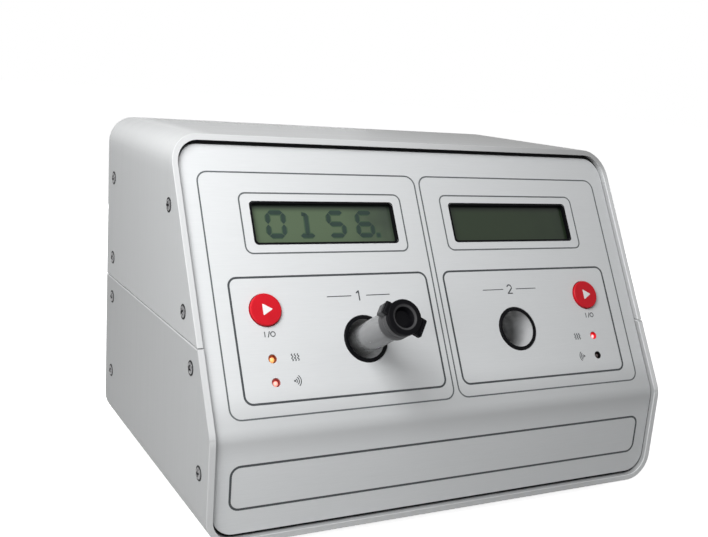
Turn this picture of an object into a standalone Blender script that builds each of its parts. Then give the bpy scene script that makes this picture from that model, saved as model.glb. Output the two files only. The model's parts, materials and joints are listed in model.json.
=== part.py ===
# Clotting time analyzer with two heated, turning test wells, a folded metal case and a sloping panel.
# Lengths are in metres. X runs to the right as seen from the front, Y to the back and Z up.
# The origin lies on the table, under the middle of the instrument's bounding box.

import math

import bmesh
import bpy

# General clearances
GAP = 0.0003                    # between pieces that touch on the real instrument
OVERRUN = 0.0040                # how far a cutting body runs past what it cuts
WELD = 0.000001                 # merge distance of doubled points
TURN_WELD = 0.00001             # merge distance on the axis of a turned piece

# Case
SHELL_WIDTH = 0.2200
SHELL_HEIGHT = 0.1480
SHELL_DEPTH = 0.1500            # from the panel's knee line to the rear edge
CORNER_RADIUS = 0.0116
WALL = 0.0024
SLOPE = math.radians(30.0)      # how far the upper panel leans back
KNEE_HEIGHT = 0.0427            # above the case's underside
KNEE_RADIUS = 0.0100
LIP = 0.0021                    # how far the case's edge stands in front of the panel
SEAM_SHARE = 0.4926             # of the case's height
SEAM_WIDTH = 0.0004
SCREW_HOLE_RADIUS = 0.0017
SCREW_HEIGHT_SHARES = (0.1797, 0.4297, 0.5588, 0.8128)
SCREW_SETBACK = 0.0085          # of the front screws, behind the panel's face
REAR_SCREW_INSET = 0.0105

# Feet
FOOT_HEIGHT = 0.0030
FOOT_RADIUS = 0.0080
FOOT_TAPER = 0.0012
FOOT_INSET_X = 0.0280
FOOT_INSET_Y = 0.0200

# Front and rear panels
PANEL_THICKNESS = 0.0020
PANEL_SIDE_GAP = 0.0005
PANEL_TOP_GAP = 0.0017
PANEL_BOTTOM_GAP = 0.0014
FLANGE_DEPTH = 0.0180
FLANGE_THICKNESS = 0.0016
FLANGE_MARGIN = 0.0040          # between a flange's end and the case's rounded corner
REAR_RECESS = 0.0021

# Rubber strips above and below the front panel
GASKET_SINK = 0.0008
GASKET_DEPTH = 0.0035
GASKET_END = math.radians(25.0)

# Rows of the upper panel, as shares of its length, up from the knee
WINDOW_ROW_SHARE = 0.7171
START_ROW_SHARE = 0.4099
WELL_ROW_SHARE = 0.2910
HEATER_ROW_SHARE = 0.2439
SENSOR_ROW_SHARE = 0.1643

# Displays
WINDOW_INNER_U = 0.0147         # of the windows' inner ends, from the panel's middle
WINDOW_INSET = 0.0303           # of the windows' outer ends, from the case's side
WINDOW_HEIGHT = 0.0176
WINDOW_CORNER = 0.0012
LCD_REVEAL = 0.0007             # of the black frame inside the window
LCD_MARGIN = 0.0030             # of the frame around the window
LCD_FRAME_DEPTH = 0.0042
LCD_FRAME_LIP = 0.0010
LCD_FRAME_WALL = 0.0012
LCD_GLASS_THICKNESS = 0.0022
LCD_BOARD_THICKNESS = 0.0016
LCD_BOARD_MARGIN_U = 0.0065
LCD_BOARD_MARGIN_V = 0.0042

# Start buttons and lamps
BUTTON_INSET = 0.0299           # of the buttons and lamps, from the case's side
START_RADIUS = 0.0065
START_PROUD = 0.0012
START_FLANGE = 0.0011           # wider than the button's face
START_FLANGE_THICKNESS = 0.0010
START_TRAVEL = 0.0008
START_STEM_RADIUS = 0.0020
LAMP_RADIUS = 0.0015
LAMP_SINK = 0.0004              # of the lamp's tip behind the panel's face
LAMP_FLANGE = 0.0004
LAMP_FLANGE_THICKNESS = 0.0010
CONTROL_BOARD_SINK = 0.0080     # of the board's face behind the panel's face
CONTROL_BOARD_THICKNESS = 0.0016
CONTROL_BOARD_WIDTH = 0.0240
CONTROL_BOARD_MARGIN = 0.0075
SWITCH_SIZE = 0.0060
SPACER_RADIUS = 0.0018

# Test wells
WELL_TO_BUTTON = 0.04195
WELL_RADIUS = 0.0083            # of the bore
RING_WALL = 0.0014
RING_PROUD = 0.0004
RING_LIP = 0.0006               # of the ring in front of the rotor's nose
RING_FLANGE = 0.0027            # wider than the ring's face
RING_FLANGE_THICKNESS = 0.0016
ROTOR_WALL = 0.0015
ROTOR_NOSE_WALL = 0.0005
ROTOR_FLOOR = 0.0030
BORE_SHOULDER = 0.0260          # depth at which the bore narrows to the tube
BORE_TAPER = 0.0030
TUBE_CLEARANCE = 0.0004
SHAFT_RADIUS = 0.0040
SHAFT_END = 0.0030              # of the shaft past its bush
BUSH_WIDTH = 0.0048
BUSH_WALL = 0.0023
BUSH_FLANGE = 0.0018
REAR_BUSH_WALL = 0.0018

# Heater blocks
BLOCK_SIDE = 0.0340
BLOCK_CHAMFER = 0.0020
BLOCK_SHORT = 0.0020            # the block ends this much before the rotor does
BLOCK_BORE_CLEARANCE = 0.0012
CARTRIDGE_RADIUS = 0.0023
CARTRIDGE_INSET = 0.0045        # from two faces of the block
CARTRIDGE_LENGTH = 0.0320
SENSOR_RADIUS = 0.0030
SENSOR_LENGTH = 0.0120
SENSOR_CLEARANCE = 0.0006

# Drive
GEAR_MODULE = 0.0008
ROTOR_TEETH = 40
PINION_TEETH = 12
PRESSURE_ANGLE = math.radians(25.0)
ADDENDUM_SHARE = 0.90           # of the module, from the pitch circle to the tooth's tip
DEDENDUM_SHARE = 1.15           # of the module, from the pitch circle to the tooth's root
FLANK_SHARES = (0.0, 0.5, 1.0)  # where a flank's points lie between its foot and its tip
BACKLASH = 0.0003
GEAR_WIDTH = 0.0055
PINION_WIDTH = 0.0045
GEAR_CLEARANCE = 0.0010         # between a gear and the drive plate
PLATE_THICKNESS = 0.0020
PLATE_BELOW = 0.0190            # from the well's axis down to the plate's edge
PLATE_ABOVE = 0.0140            # from the motor's axis up to the plate's edge
PLATE_CORNER = 0.0040
PILLAR_RADIUS = 0.0022
PILLAR_INSET = 0.0030           # of a pillar's axis from the block's faces
MOTOR_SHAFT_RADIUS = 0.0020
GEARBOX_RADIUS = 0.0118
GEARBOX_LENGTH = 0.0160
MOTOR_RADIUS = 0.0098
MOTOR_LENGTH = 0.0280
MOTOR_CAP_RADIUS = 0.0045
MOTOR_CAP_LENGTH = 0.0020

# Test tube in well 1
TUBE_RADIUS = 0.0060
TUBE_WALL = 0.0009
TUBE_LENGTH = 0.0750
CAP_REACH = 0.0325              # the cap's top, in front of the panel
CAP_RADIUS = 0.0070
CAP_HEIGHT = 0.0088
CAP_TOP_THICKNESS = 0.0014
CAP_MOUTH_RADIUS = 0.0043
LID_RADIUS = 0.0071
LID_THICKNESS = 0.0024
LID_RECESS_RADIUS = 0.0045
LID_RECESS_DEPTH = 0.0014
LID_PLUG_RADIUS = 0.0039
LID_PLUG_LENGTH = 0.0010
TAB_ANGLE = math.radians(-33.0)
TAB_REACH = 0.0092
TAB_WIDTH = 0.0076
HINGE_REACH = 0.0080            # of the lid's hinge line from the tube's axis
HINGE_RADIUS = 0.0010
HINGE_WIDTH = 0.0046
MAGNET_RADIUS = 0.0020
MAGNET_LENGTH = 0.0120

# Main board and transformer
BOARD_DEPTH = 0.0980
BOARD_THICKNESS = 0.0016
BOARD_STANDOFF = 0.0060
STANDOFF_RADIUS = 0.0030
STANDOFF_INSET = 0.0060
BOARD_CLEARANCE = 0.0030        # to the flanges and to the transformer
CHIP_HEIGHT = 0.0030
CHIP_SIDE = 0.0140
SOCKET_HEIGHT = 0.0080
SOCKET_WIDTH = 0.0260
SOCKET_DEPTH = 0.0070
CAPACITOR_RADIUS = 0.0050
CAPACITOR_HEIGHT = 0.0120
TRANSFORMER_WIDTH = 0.0360
TRANSFORMER_DEPTH = 0.0420
TRANSFORMER_HEIGHT = 0.0380
COIL_OVERHANG = 0.0080
COIL_INSET = 0.0040
TRANSFORMER_FOOT = 0.0015
TRANSFORMER_PITCH = 0.0600      # between the ends of its feet, front to rear

# Fittings on the rear panel, placed from the middle and from the case's underside
REAR_ROW = 0.0600
FITTING_CLEARANCE = 0.0004
INLET_INSET = 0.0400            # from the case's side
INLET_WIDTH = 0.0270
INLET_HEIGHT = 0.0340
INLET_DEPTH = 0.0240
INLET_FLANGE = 0.0022
INLET_FLANGE_THICKNESS = 0.0024
INLET_CORNER = 0.0020
SOCKET_OPEN_WIDTH = 0.0240
SOCKET_OPEN_HEIGHT = 0.0164
SOCKET_OPEN_DEPTH = 0.0170
SOCKET_BEVEL = 0.0050
SOCKET_RISE = 0.0072            # of the socket's middle above the fitting's middle
BLADE_WIDTH = 0.0020
BLADE_HEIGHT = 0.0045
BLADE_LENGTH = 0.0110
BLADE_PITCH = 0.0070
BLADE_RISE = 0.0020
FUSE_WIDTH = 0.0230
FUSE_HEIGHT = 0.0084
FUSE_DEPTH = 0.0190
FUSE_DROP = 0.0113              # of the drawer's middle below the fitting's middle
FUSE_FACE = 0.0012
FUSE_TROUGH_RADIUS = 0.0027
FUSE_TROUGH_LENGTH = 0.0130
SWITCH_X = -0.0080
SWITCH_BODY_WIDTH = 0.0140
SWITCH_BODY_HEIGHT = 0.0220
SWITCH_BODY_DEPTH = 0.0170
SWITCH_FLANGE = 0.0018
SWITCH_FLANGE_THICKNESS = 0.0018
SWITCH_WALL = 0.0014
ROCKER_SINK = 0.0012            # of the rocker's pivot behind the switch's face
ROCKER_RISE = 0.0036            # of the rocker's middle above its pivot
ROCKER_HORN = 0.0010            # of its two ends above its middle
ROCKER_SKIRT = 0.0026
ROCKER_DEPTH = 0.0045
ROCKER_TILT = math.radians(8.0)
SERIAL_INSET = 0.0400
SERIAL_WIDTH = 0.0170
SERIAL_HEIGHT = 0.0086
SERIAL_SLANT = 0.0012
SERIAL_REACH = 0.0055
SERIAL_BODY_DEPTH = 0.0100
SERIAL_FLANGE_X = 0.0070
SERIAL_FLANGE_Z = 0.0020
SERIAL_FLANGE_THICKNESS = 0.0010
SERIAL_CORNER = 0.0010

# Mesh steps and shading
CORNER_STEPS = 8
DOME_STEPS = 6
LENS_STEPS = 4
SMALL_STEPS = 3
BLOCK_CORNER_STEPS = 2
CHAMFER_STEPS = 1
TURN_STEPS = 32
FOOT_STEPS = 24
INNER_STEPS = 20
HOLE_STEPS = 12
SHARP_ANGLE = math.radians(32.0)

# Places that several pieces share
PANEL_HALF = SHELL_WIDTH / 2 - WALL - PANEL_SIDE_GAP
PANEL_TOP = SHELL_HEIGHT - WALL - PANEL_TOP_GAP
PANEL_BOTTOM = WALL + PANEL_BOTTOM_GAP
PANEL_CORNER = CORNER_RADIUS - WALL - PANEL_SIDE_GAP
PANEL_LENGTH = (PANEL_TOP - KNEE_HEIGHT) / math.cos(SLOPE)
SEAM_HEIGHT = SHELL_HEIGHT * SEAM_SHARE
WINDOW_WIDTH = SHELL_WIDTH / 2 - WINDOW_INSET - WINDOW_INNER_U
WINDOW_U = WINDOW_INNER_U + WINDOW_WIDTH / 2
WINDOW_V = PANEL_LENGTH * WINDOW_ROW_SHARE
BUTTON_U = SHELL_WIDTH / 2 - BUTTON_INSET
START_V = PANEL_LENGTH * START_ROW_SHARE
HEATER_LAMP_V = PANEL_LENGTH * HEATER_ROW_SHARE
SENSOR_LAMP_V = PANEL_LENGTH * SENSOR_ROW_SHARE
WELL_U = BUTTON_U - WELL_TO_BUTTON
WELL_V = PANEL_LENGTH * WELL_ROW_SHARE
RING_RADIUS = WELL_RADIUS + RING_WALL
RING_BACK = PANEL_THICKNESS + GAP + RING_FLANGE_THICKNESS
ROTOR_RADIUS = WELL_RADIUS + ROTOR_WALL
ROTOR_FRONT = RING_BACK + GAP
TUBE_TOP = CAP_REACH - LID_THICKNESS - GAP - CAP_TOP_THICKNESS - GAP
TUBE_TIP = TUBE_TOP - TUBE_LENGTH
SENSOR_DEPTH = -(TUBE_TIP + TUBE_RADIUS + MAGNET_LENGTH / 2)
ROTOR_BASE = -TUBE_TIP + GAP + ROTOR_FLOOR
BLOCK_BACK = ROTOR_BASE - BLOCK_SHORT
BLOCK_BORE = ROTOR_RADIUS + BLOCK_BORE_CLEARANCE
BUSH_RADIUS = ROTOR_RADIUS + GAP + BUSH_WALL
BUSH_FRONT = RING_BACK + GAP
SEAT_RADIUS = max(BUSH_RADIUS, RING_RADIUS + RING_FLANGE) + GAP
GEAR_FRONT = ROTOR_BASE + GAP
PLATE_FRONT = GEAR_FRONT + GEAR_WIDTH + GEAR_CLEARANCE
PLATE_BACK = PLATE_FRONT + PLATE_THICKNESS
REAR_BUSH_RADIUS = SHAFT_RADIUS + GAP + REAR_BUSH_WALL
GEAR_DISTANCE = GEAR_MODULE * (ROTOR_TEETH + PINION_TEETH) / 2
PLATE_HALF = WELL_U + BLOCK_SIDE / 2
REAR_FACE = SHELL_DEPTH - REAR_RECESS
FRONT_FOOT_Y = FOOT_INSET_Y
REAR_FOOT_Y = SHELL_DEPTH - FOOT_INSET_Y
BOARD_ROOM = PANEL_HALF - FLANGE_THICKNESS - BOARD_CLEARANCE
TRANSFORMER_X = SHELL_WIDTH / 2 - CORNER_RADIUS - TRANSFORMER_WIDTH / 2
BOARD_LEFT = -BOARD_ROOM
BOARD_RIGHT = TRANSFORMER_X - TRANSFORMER_WIDTH / 2 - BOARD_CLEARANCE
BOARD_REAR = REAR_FACE - PANEL_THICKNESS - FLANGE_DEPTH - BOARD_CLEARANCE
BOARD_UNDER = WALL + BOARD_STANDOFF
INLET_X = INLET_INSET - SHELL_WIDTH / 2
SERIAL_X = SHELL_WIDTH / 2 - SERIAL_INSET


def slope_y(v, out):
    """Distance behind the knee of a point v up the slope and out in front of it."""
    return v * math.sin(SLOPE) - out * math.cos(SLOPE)


def tab_front():
    """The foremost point of the tube's cap, which is a corner of its thumb tab."""
    low = TAB_REACH * math.sin(TAB_ANGLE) - TAB_WIDTH / 2 * math.cos(TAB_ANGLE)
    return min(slope_y(WELL_V + low, CAP_REACH), slope_y(WELL_V - LID_RADIUS, CAP_REACH))


MIDDLE_Y = (tab_front() + REAR_FACE + SERIAL_REACH) / 2

FINISHES = {
    "brushed_case": ((0.60, 0.61, 0.62), 1.0, 0.34),
    "panel_silver": ((0.74, 0.76, 0.77), 0.9, 0.36),
    "black_rubber": ((0.02, 0.02, 0.02), 0.0, 0.80),
    "black_plastic": ((0.03, 0.03, 0.03), 0.0, 0.45),
    "grey_plastic": ((0.30, 0.31, 0.32), 0.0, 0.50),
    "white_nylon": ((0.80, 0.80, 0.76), 0.0, 0.45),
    "red_button": ((0.72, 0.03, 0.04), 0.0, 0.40),
    "amber_lens": ((0.90, 0.35, 0.05), 0.0, 0.15),
    "red_lens": ((0.80, 0.05, 0.05), 0.0, 0.15),
    "lcd_glass": ((0.14, 0.22, 0.10), 0.0, 0.20),
    "turned_aluminium": ((0.77, 0.78, 0.79), 1.0, 0.28),
    "bronze": ((0.55, 0.36, 0.16), 1.0, 0.40),
    "steel": ((0.56, 0.57, 0.58), 1.0, 0.35),
    "magnet": ((0.35, 0.35, 0.36), 1.0, 0.30),
    "circuit_board": ((0.02, 0.20, 0.08), 0.0, 0.50),
    "tube_plastic": ((0.85, 0.88, 0.90), 0.0, 0.10),
}


# Scene, collections and parents

for old in list(bpy.data.objects):
    bpy.data.objects.remove(old)

PARTS = bpy.data.collections.new("clotting_time_analyzer")
CUTTERS = bpy.data.collections.new("cutters")
bpy.context.scene.collection.children.link(PARTS)
bpy.context.scene.collection.children.link(CUTTERS)


def finish(name):
    made = bpy.data.materials.get(name)
    if made:
        return made
    colour, metallic, roughness = FINISHES[name]
    made = bpy.data.materials.new(name)
    made.use_nodes = True
    made.diffuse_color = (*colour, 1)
    shader = made.node_tree.nodes["Principled BSDF"]
    shader.inputs["Base Color"].default_value = (*colour, 1)
    shader.inputs["Metallic"].default_value = metallic
    shader.inputs["Roughness"].default_value = roughness
    return made


def empty(name, location, rotation, parent=None):
    made = bpy.data.objects.new(name, None)
    made.location = location
    made.rotation_euler = rotation
    made.parent = parent
    PARTS.objects.link(made)
    return made


# Each parent turns a flat drawing the way its pieces are cut.
# side: drawn as depth and height, and thick across the instrument.
# front: drawn as width and height, and thick towards the front.
# slope: drawn as width and distance up the slope, and thick towards the user.
# rear: drawn as seen from behind, from the rear panel's face, and thick to the back.
# case: drawn as width and depth, and thick upwards.
case = empty("case_origin", (0, -MIDDLE_Y, FOOT_HEIGHT), (0, 0, 0))
side = empty("side_drawing", (0, 0, 0), (math.pi / 2, 0, math.pi / 2), case)
front = empty("front_drawing", (0, 0, 0), (math.pi / 2, 0, 0), case)
slope = empty("slope_drawing", (0, 0, KNEE_HEIGHT), (math.pi / 2 - SLOPE, 0, 0), case)
rear = empty("rear_drawing", (0, REAR_FACE, 0), (math.pi / 2, 0, math.pi), case)


# Drawing and solid tools

def link(name, mesh, parent, place, colour):
    made = bpy.data.objects.new(name, mesh)
    made.parent = parent
    made.location = place
    if colour:
        mesh.materials.clear()
        mesh.materials.append(finish(colour))
        PARTS.objects.link(made)
        mesh.shade_smooth()
        mesh.set_sharp_from_angle(angle=SHARP_ANGLE)
    else:
        CUTTERS.objects.link(made)
        made.hide_render = True
        made.display_type = 'WIRE'
    return made


def plate(name, rings, low, high, parent, place=(0, 0, 0), colour=None):
    """A flat drawing of closed rings, solid between low and high. Without a colour it is a cutter."""
    curve = bpy.data.curves.new(name, 'CURVE')
    curve.dimensions = '2D'
    curve.fill_mode = 'BOTH'
    curve.extrude = (high - low) / 2
    for ring in rings:
        spline = curve.splines.new('POLY')
        spline.points.add(len(ring) - 1)
        for point, (x, y) in zip(spline.points, ring):
            point.co = (x, y, 0, 1)
        spline.use_cyclic_u = True
    drawn = bpy.data.objects.new(name + "_drawing", curve)
    bpy.context.scene.collection.objects.link(drawn)
    seen = drawn.evaluated_get(bpy.context.evaluated_depsgraph_get())
    mesh = bpy.data.meshes.new_from_object(seen)
    bpy.data.objects.remove(drawn)
    bpy.data.curves.remove(curve)
    shape = bmesh.new()
    shape.from_mesh(mesh)
    bmesh.ops.remove_doubles(shape, verts=shape.verts, dist=WELD)
    bmesh.ops.translate(shape, verts=shape.verts, vec=(0, 0, (low + high) / 2))
    bmesh.ops.recalc_face_normals(shape, faces=shape.faces)
    shape.to_mesh(mesh)
    shape.free()
    mesh.name = name
    return link(name, mesh, parent, place, colour)


def turned(name, profile, parent, place=(0, 0, 0), colour=None, steps=TURN_STEPS, closed=False):
    """A profile of radius and height turned about the local Z axis, top to bottom on the outside."""
    mesh = bpy.data.meshes.new(name)
    count = len(profile)
    edges = [(i, i + 1) for i in range(count - 1)]
    if closed:
        edges.append((count - 1, 0))
    mesh.from_pydata([(radius, 0, height) for radius, height in profile], edges, [])
    made = link(name, mesh, parent, place, colour)
    screw = made.modifiers.new("turn", 'SCREW')
    screw.axis = 'Z'
    screw.angle = 2 * math.pi
    screw.steps = steps
    screw.render_steps = steps
    screw.use_merge_vertices = True
    screw.merge_threshold = TURN_WELD
    return made


def use(target, tool, operation):
    step = target.modifiers.new(operation.lower(), 'BOOLEAN')
    step.operation = operation
    step.object = tool
    step.solver = 'EXACT'


def cut(target, tool):
    use(target, tool, 'DIFFERENCE')


def fuse(target, tool):
    use(target, tool, 'UNION')


def trim(target, tool):
    use(target, tool, 'INTERSECT')


# Outlines

def arc(cx, cy, radius, start, end, steps):
    turn = (end - start) / steps
    return [(cx + radius * math.cos(start + i * turn), cy + radius * math.sin(start + i * turn))
            for i in range(steps + 1)]


def disc(radius, cx=0, cy=0, steps=TURN_STEPS):
    return arc(cx, cy, radius, 0, 2 * math.pi * (steps - 1) / steps, steps - 1)


def box(x0, x1, y0, y1):
    return [(x0, y0), (x1, y0), (x1, y1), (x0, y1)]


def rounded(x0, x1, y0, y1, radius, steps=SMALL_STEPS):
    quarter = math.pi / 2
    corners = ((x1 - radius, y1 - radius), (x0 + radius, y1 - radius),
               (x0 + radius, y0 + radius), (x1 - radius, y0 + radius))
    points = []
    for i, (cx, cy) in enumerate(corners):
        points += arc(cx, cy, radius, i * quarter, (i + 1) * quarter, steps)
    return points


def around(x, y, width, height, radius, steps=SMALL_STEPS):
    return rounded(x - width / 2, x + width / 2, y - height / 2, y + height / 2, radius, steps)


def front_profile(out, low, high):
    """The bent panel's side view, moved out in front of its face, from one height to another."""
    centre = KNEE_HEIGHT - KNEE_RADIUS * math.tan(SLOPE / 2)
    if KNEE_RADIUS + out > 0:
        bend = arc(KNEE_RADIUS, centre, KNEE_RADIUS + out, math.pi, math.pi - SLOPE, CORNER_STEPS)
    else:
        bend = [(-out, KNEE_HEIGHT + out * math.tan(SLOPE / 2))]
    v = (high - KNEE_HEIGHT - out * math.sin(SLOPE)) / math.cos(SLOPE)
    return [(-out, low)] + bend + [(slope_y(v, out), high)]


def sheet_profile(outer, inner, low, high):
    """A closed side view between two depths of the bent panel."""
    return front_profile(outer, low, high) + front_profile(inner, low, high)[::-1]


def case_section(far, split):
    """Half of the case's cross-section, from the seam round the far side and back."""
    up = 1 if far > split else -1
    reach = SHELL_WIDTH / 2
    left, right, level = CORNER_RADIUS - reach, reach - CORNER_RADIUS, far - up * CORNER_RADIUS

    def corner(cx, radius, start, end):
        return [(x, level + up * y) for x, y in arc(cx, 0, radius, start, end, CORNER_STEPS)]

    inside = CORNER_RADIUS - WALL
    return ([(-reach, split)]
            + corner(left, CORNER_RADIUS, math.pi, math.pi / 2)
            + corner(right, CORNER_RADIUS, math.pi / 2, 0)
            + [(reach, split), (reach - WALL, split)]
            + corner(right, inside, 0, math.pi / 2)
            + corner(left, inside, math.pi / 2, math.pi)
            + [(WALL - reach, split)])


def mirror_ring(ring):
    return [(-x, y) for x, y in reversed(ring)]


def gear_ring(teeth, aim):
    """An involute outline with one tooth centred on the angle aim."""
    pitch = GEAR_MODULE * teeth / 2
    base = pitch * math.cos(PRESSURE_ANGLE)
    tip = pitch + ADDENDUM_SHARE * GEAR_MODULE
    root = pitch - DEDENDUM_SHARE * GEAR_MODULE
    half = math.pi / (2 * teeth) - BACKLASH / (2 * pitch)

    def flank(radius):
        lean = math.acos(min(1, base / radius))
        return half + math.tan(PRESSURE_ANGLE) - PRESSURE_ANGLE - math.tan(lean) + lean

    low = max(base, root)
    climb = []
    for share in FLANK_SHARES:
        radius = low + (tip - low) * share
        climb.append((radius, flank(radius)))
    if root < low:
        climb.insert(0, (root, climb[0][1]))
    points = []
    for tooth in range(teeth):
        centre = aim + 2 * math.pi * tooth / teeth
        for radius, angle in climb:
            points.append((radius * math.cos(centre - angle), radius * math.sin(centre - angle)))
        for radius, angle in reversed(climb):
            points.append((radius * math.cos(centre + angle), radius * math.sin(centre + angle)))
    return points


# Case

def make_case():
    rods = []
    for share in SCREW_HEIGHT_SHARES:
        height = SHELL_HEIGHT * share
        front_y = slope_y(max(0, height - KNEE_HEIGHT) / math.cos(SLOPE), 0)
        setback = SCREW_SETBACK / (math.cos(SLOPE) if height > KNEE_HEIGHT else 1)
        for y in (front_y + setback, SHELL_DEPTH - REAR_SCREW_INSET):
            rods.append(disc(SCREW_HOLE_RADIUS, y, height, HOLE_STEPS))
    reach = SHELL_WIDTH / 2 + OVERRUN
    screw_rods = plate("screw_rods", rods, -reach, reach, side)

    top = SHELL_HEIGHT + OVERRUN
    open_front = front_profile(LIP, -OVERRUN, top) + [(-LIP - OVERRUN, top), (-LIP - OVERRUN, -OVERRUN)]
    front_cut = plate("front_cut", [open_front], -reach, reach, side)

    for name, far, split in (("upper_shell", SHELL_HEIGHT, SEAM_HEIGHT + SEAM_WIDTH / 2),
                             ("lower_shell", 0, SEAM_HEIGHT - SEAM_WIDTH / 2)):
        shell = plate(name, [case_section(far, split)], -SHELL_DEPTH, LIP + OVERRUN / 2, front,
                      colour="brushed_case")
        cut(shell, front_cut)
        cut(shell, screw_rods)
        if far == 0:
            fuse(shell, make_standoffs())
    make_front_panel(screw_rods)
    make_rear_panel(screw_rods)
    make_gaskets()


def make_standoffs():
    posts = []
    for x in (BOARD_LEFT + STANDOFF_INSET, BOARD_RIGHT - STANDOFF_INSET):
        for y in (BOARD_REAR - BOARD_DEPTH + STANDOFF_INSET, BOARD_REAR - STANDOFF_INSET):
            posts.append(disc(STANDOFF_RADIUS, x, y, HOLE_STEPS))
    return plate("standoff_posts", posts, WALL / 2, BOARD_UNDER - GAP, case)


def flange_strips(name, ring, outline_parent):
    """Both side flanges of a panel, wide of its edges until the panel's outline trims them."""
    inner, outer = PANEL_HALF - FLANGE_THICKNESS, PANEL_HALF + OVERRUN / 2
    strip = plate(name + "_flange_right", [ring], inner, outer, outline_parent)
    mirrored = plate(name + "_flange_left", [ring], -outer, -inner, outline_parent)
    return strip, mirrored


def make_front_panel(screw_rods):
    low, high = -OVERRUN, SHELL_HEIGHT + OVERRUN
    face = sheet_profile(0, -PANEL_THICKNESS, low, high)
    panel = plate("front_panel", [face], -PANEL_HALF - OVERRUN, PANEL_HALF + OVERRUN, side,
                  colour="panel_silver")
    low = CORNER_RADIUS + FLANGE_MARGIN
    high = SHELL_HEIGHT - CORNER_RADIUS - FLANGE_MARGIN
    strip = sheet_profile(-PANEL_THICKNESS / 2, -FLANGE_DEPTH, low, high)
    for flange in flange_strips("front", strip, side):
        fuse(panel, flange)
    edge = rounded(-PANEL_HALF, PANEL_HALF, PANEL_BOTTOM, PANEL_TOP, PANEL_CORNER, CORNER_STEPS)
    trim(panel, plate("panel_edge", [edge], -SHELL_DEPTH, LIP + OVERRUN, front))
    cut(panel, screw_rods)

    holes = []
    for hand in (-1, 1):
        holes.append(around(hand * WINDOW_U, WINDOW_V, WINDOW_WIDTH, WINDOW_HEIGHT, WINDOW_CORNER))
        holes.append(disc(START_RADIUS + GAP, hand * BUTTON_U, START_V))
        holes.append(disc(RING_RADIUS + GAP, hand * WELL_U, WELL_V))
        for v in (HEATER_LAMP_V, SENSOR_LAMP_V):
            holes.append(disc(LAMP_RADIUS + GAP, hand * BUTTON_U, v, HOLE_STEPS))
    cut(panel, plate("panel_holes", holes, -FLANGE_DEPTH, OVERRUN, slope))


def make_rear_panel(screw_rods):
    edge = rounded(-PANEL_HALF, PANEL_HALF, WALL + PANEL_SIDE_GAP, SHELL_HEIGHT - WALL - PANEL_SIDE_GAP,
                   PANEL_CORNER, CORNER_STEPS)
    inlet = around(-INLET_X, REAR_ROW, INLET_WIDTH + 2 * FITTING_CLEARANCE,
                   INLET_HEIGHT + 2 * FITTING_CLEARANCE, INLET_CORNER)
    switch = around(-SWITCH_X, REAR_ROW, SWITCH_BODY_WIDTH + 2 * FITTING_CLEARANCE,
                    SWITCH_BODY_HEIGHT + 2 * FITTING_CLEARANCE, INLET_CORNER)
    serial = around(-SERIAL_X, REAR_ROW, SERIAL_WIDTH + 2 * FITTING_CLEARANCE,
                    SERIAL_HEIGHT + 2 * FITTING_CLEARANCE, SERIAL_CORNER)
    wide = PANEL_HALF + OVERRUN
    sheet = box(-wide, wide, -OVERRUN, SHELL_HEIGHT + OVERRUN)
    panel = plate("rear_panel", [sheet, inlet, switch, serial], -PANEL_THICKNESS, 0, rear,
                  colour="panel_silver")
    y0 = REAR_FACE - PANEL_THICKNESS - FLANGE_DEPTH
    strip = box(y0, REAR_FACE - PANEL_THICKNESS / 2, CORNER_RADIUS + FLANGE_MARGIN,
                SHELL_HEIGHT - CORNER_RADIUS - FLANGE_MARGIN)
    for flange in flange_strips("rear", strip, side):
        fuse(panel, flange)
    trim(panel, plate("rear_edge", [edge], -SHELL_DEPTH, OVERRUN, rear))
    cut(panel, screw_rods)


def make_gaskets():
    """Two rubber strips that fill the slit between the panel's edge and the case."""
    slab = plate("gasket_slab", [sheet_profile(-GASKET_SINK, -GASKET_SINK - GASKET_DEPTH, -OVERRUN,
                                               SHELL_HEIGHT + OVERRUN)],
                 -SHELL_WIDTH / 2, SHELL_WIDTH / 2, side)
    outer = CORNER_RADIUS - WALL - GAP
    inner = PANEL_CORNER + GAP
    for name, up, case_edge, panel_edge in (("top_gasket", 1, SHELL_HEIGHT, PANEL_TOP),
                                            ("bottom_gasket", -1, 0, PANEL_BOTTOM)):
        outside = arc(SHELL_WIDTH / 2 - CORNER_RADIUS, 0, outer, GASKET_END, math.pi / 2, CORNER_STEPS)
        inside = arc(PANEL_HALF - PANEL_CORNER, 0, inner, GASKET_END, math.pi / 2, CORNER_STEPS)
        outside = [(x, case_edge + up * (y - CORNER_RADIUS)) for x, y in outside]
        inside = [(x, panel_edge + up * (y - PANEL_CORNER)) for x, y in inside]
        ring = outside + mirror_ring(outside) + mirror_ring(inside[::-1]) + inside[::-1]
        strip = plate(name, [ring], -SHELL_DEPTH, LIP, front, colour="black_rubber")
        trim(strip, slab)


def make_feet():
    reach = SHELL_WIDTH / 2 - FOOT_INSET_X
    height = FOOT_HEIGHT - GAP
    profile = [(0, height), (FOOT_RADIUS, height), (FOOT_RADIUS, height / 2),
               (FOOT_RADIUS - FOOT_TAPER, 0), (0, 0)]
    for name, x, y in (("foot_front_left", -reach, FRONT_FOOT_Y), ("foot_front_right", reach, FRONT_FOOT_Y),
                       ("foot_rear_left", -reach, REAR_FOOT_Y), ("foot_rear_right", reach, REAR_FOOT_Y)):
        turned(name, profile, case, (x, y, -FOOT_HEIGHT), "black_rubber", FOOT_STEPS)


# Displays

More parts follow.
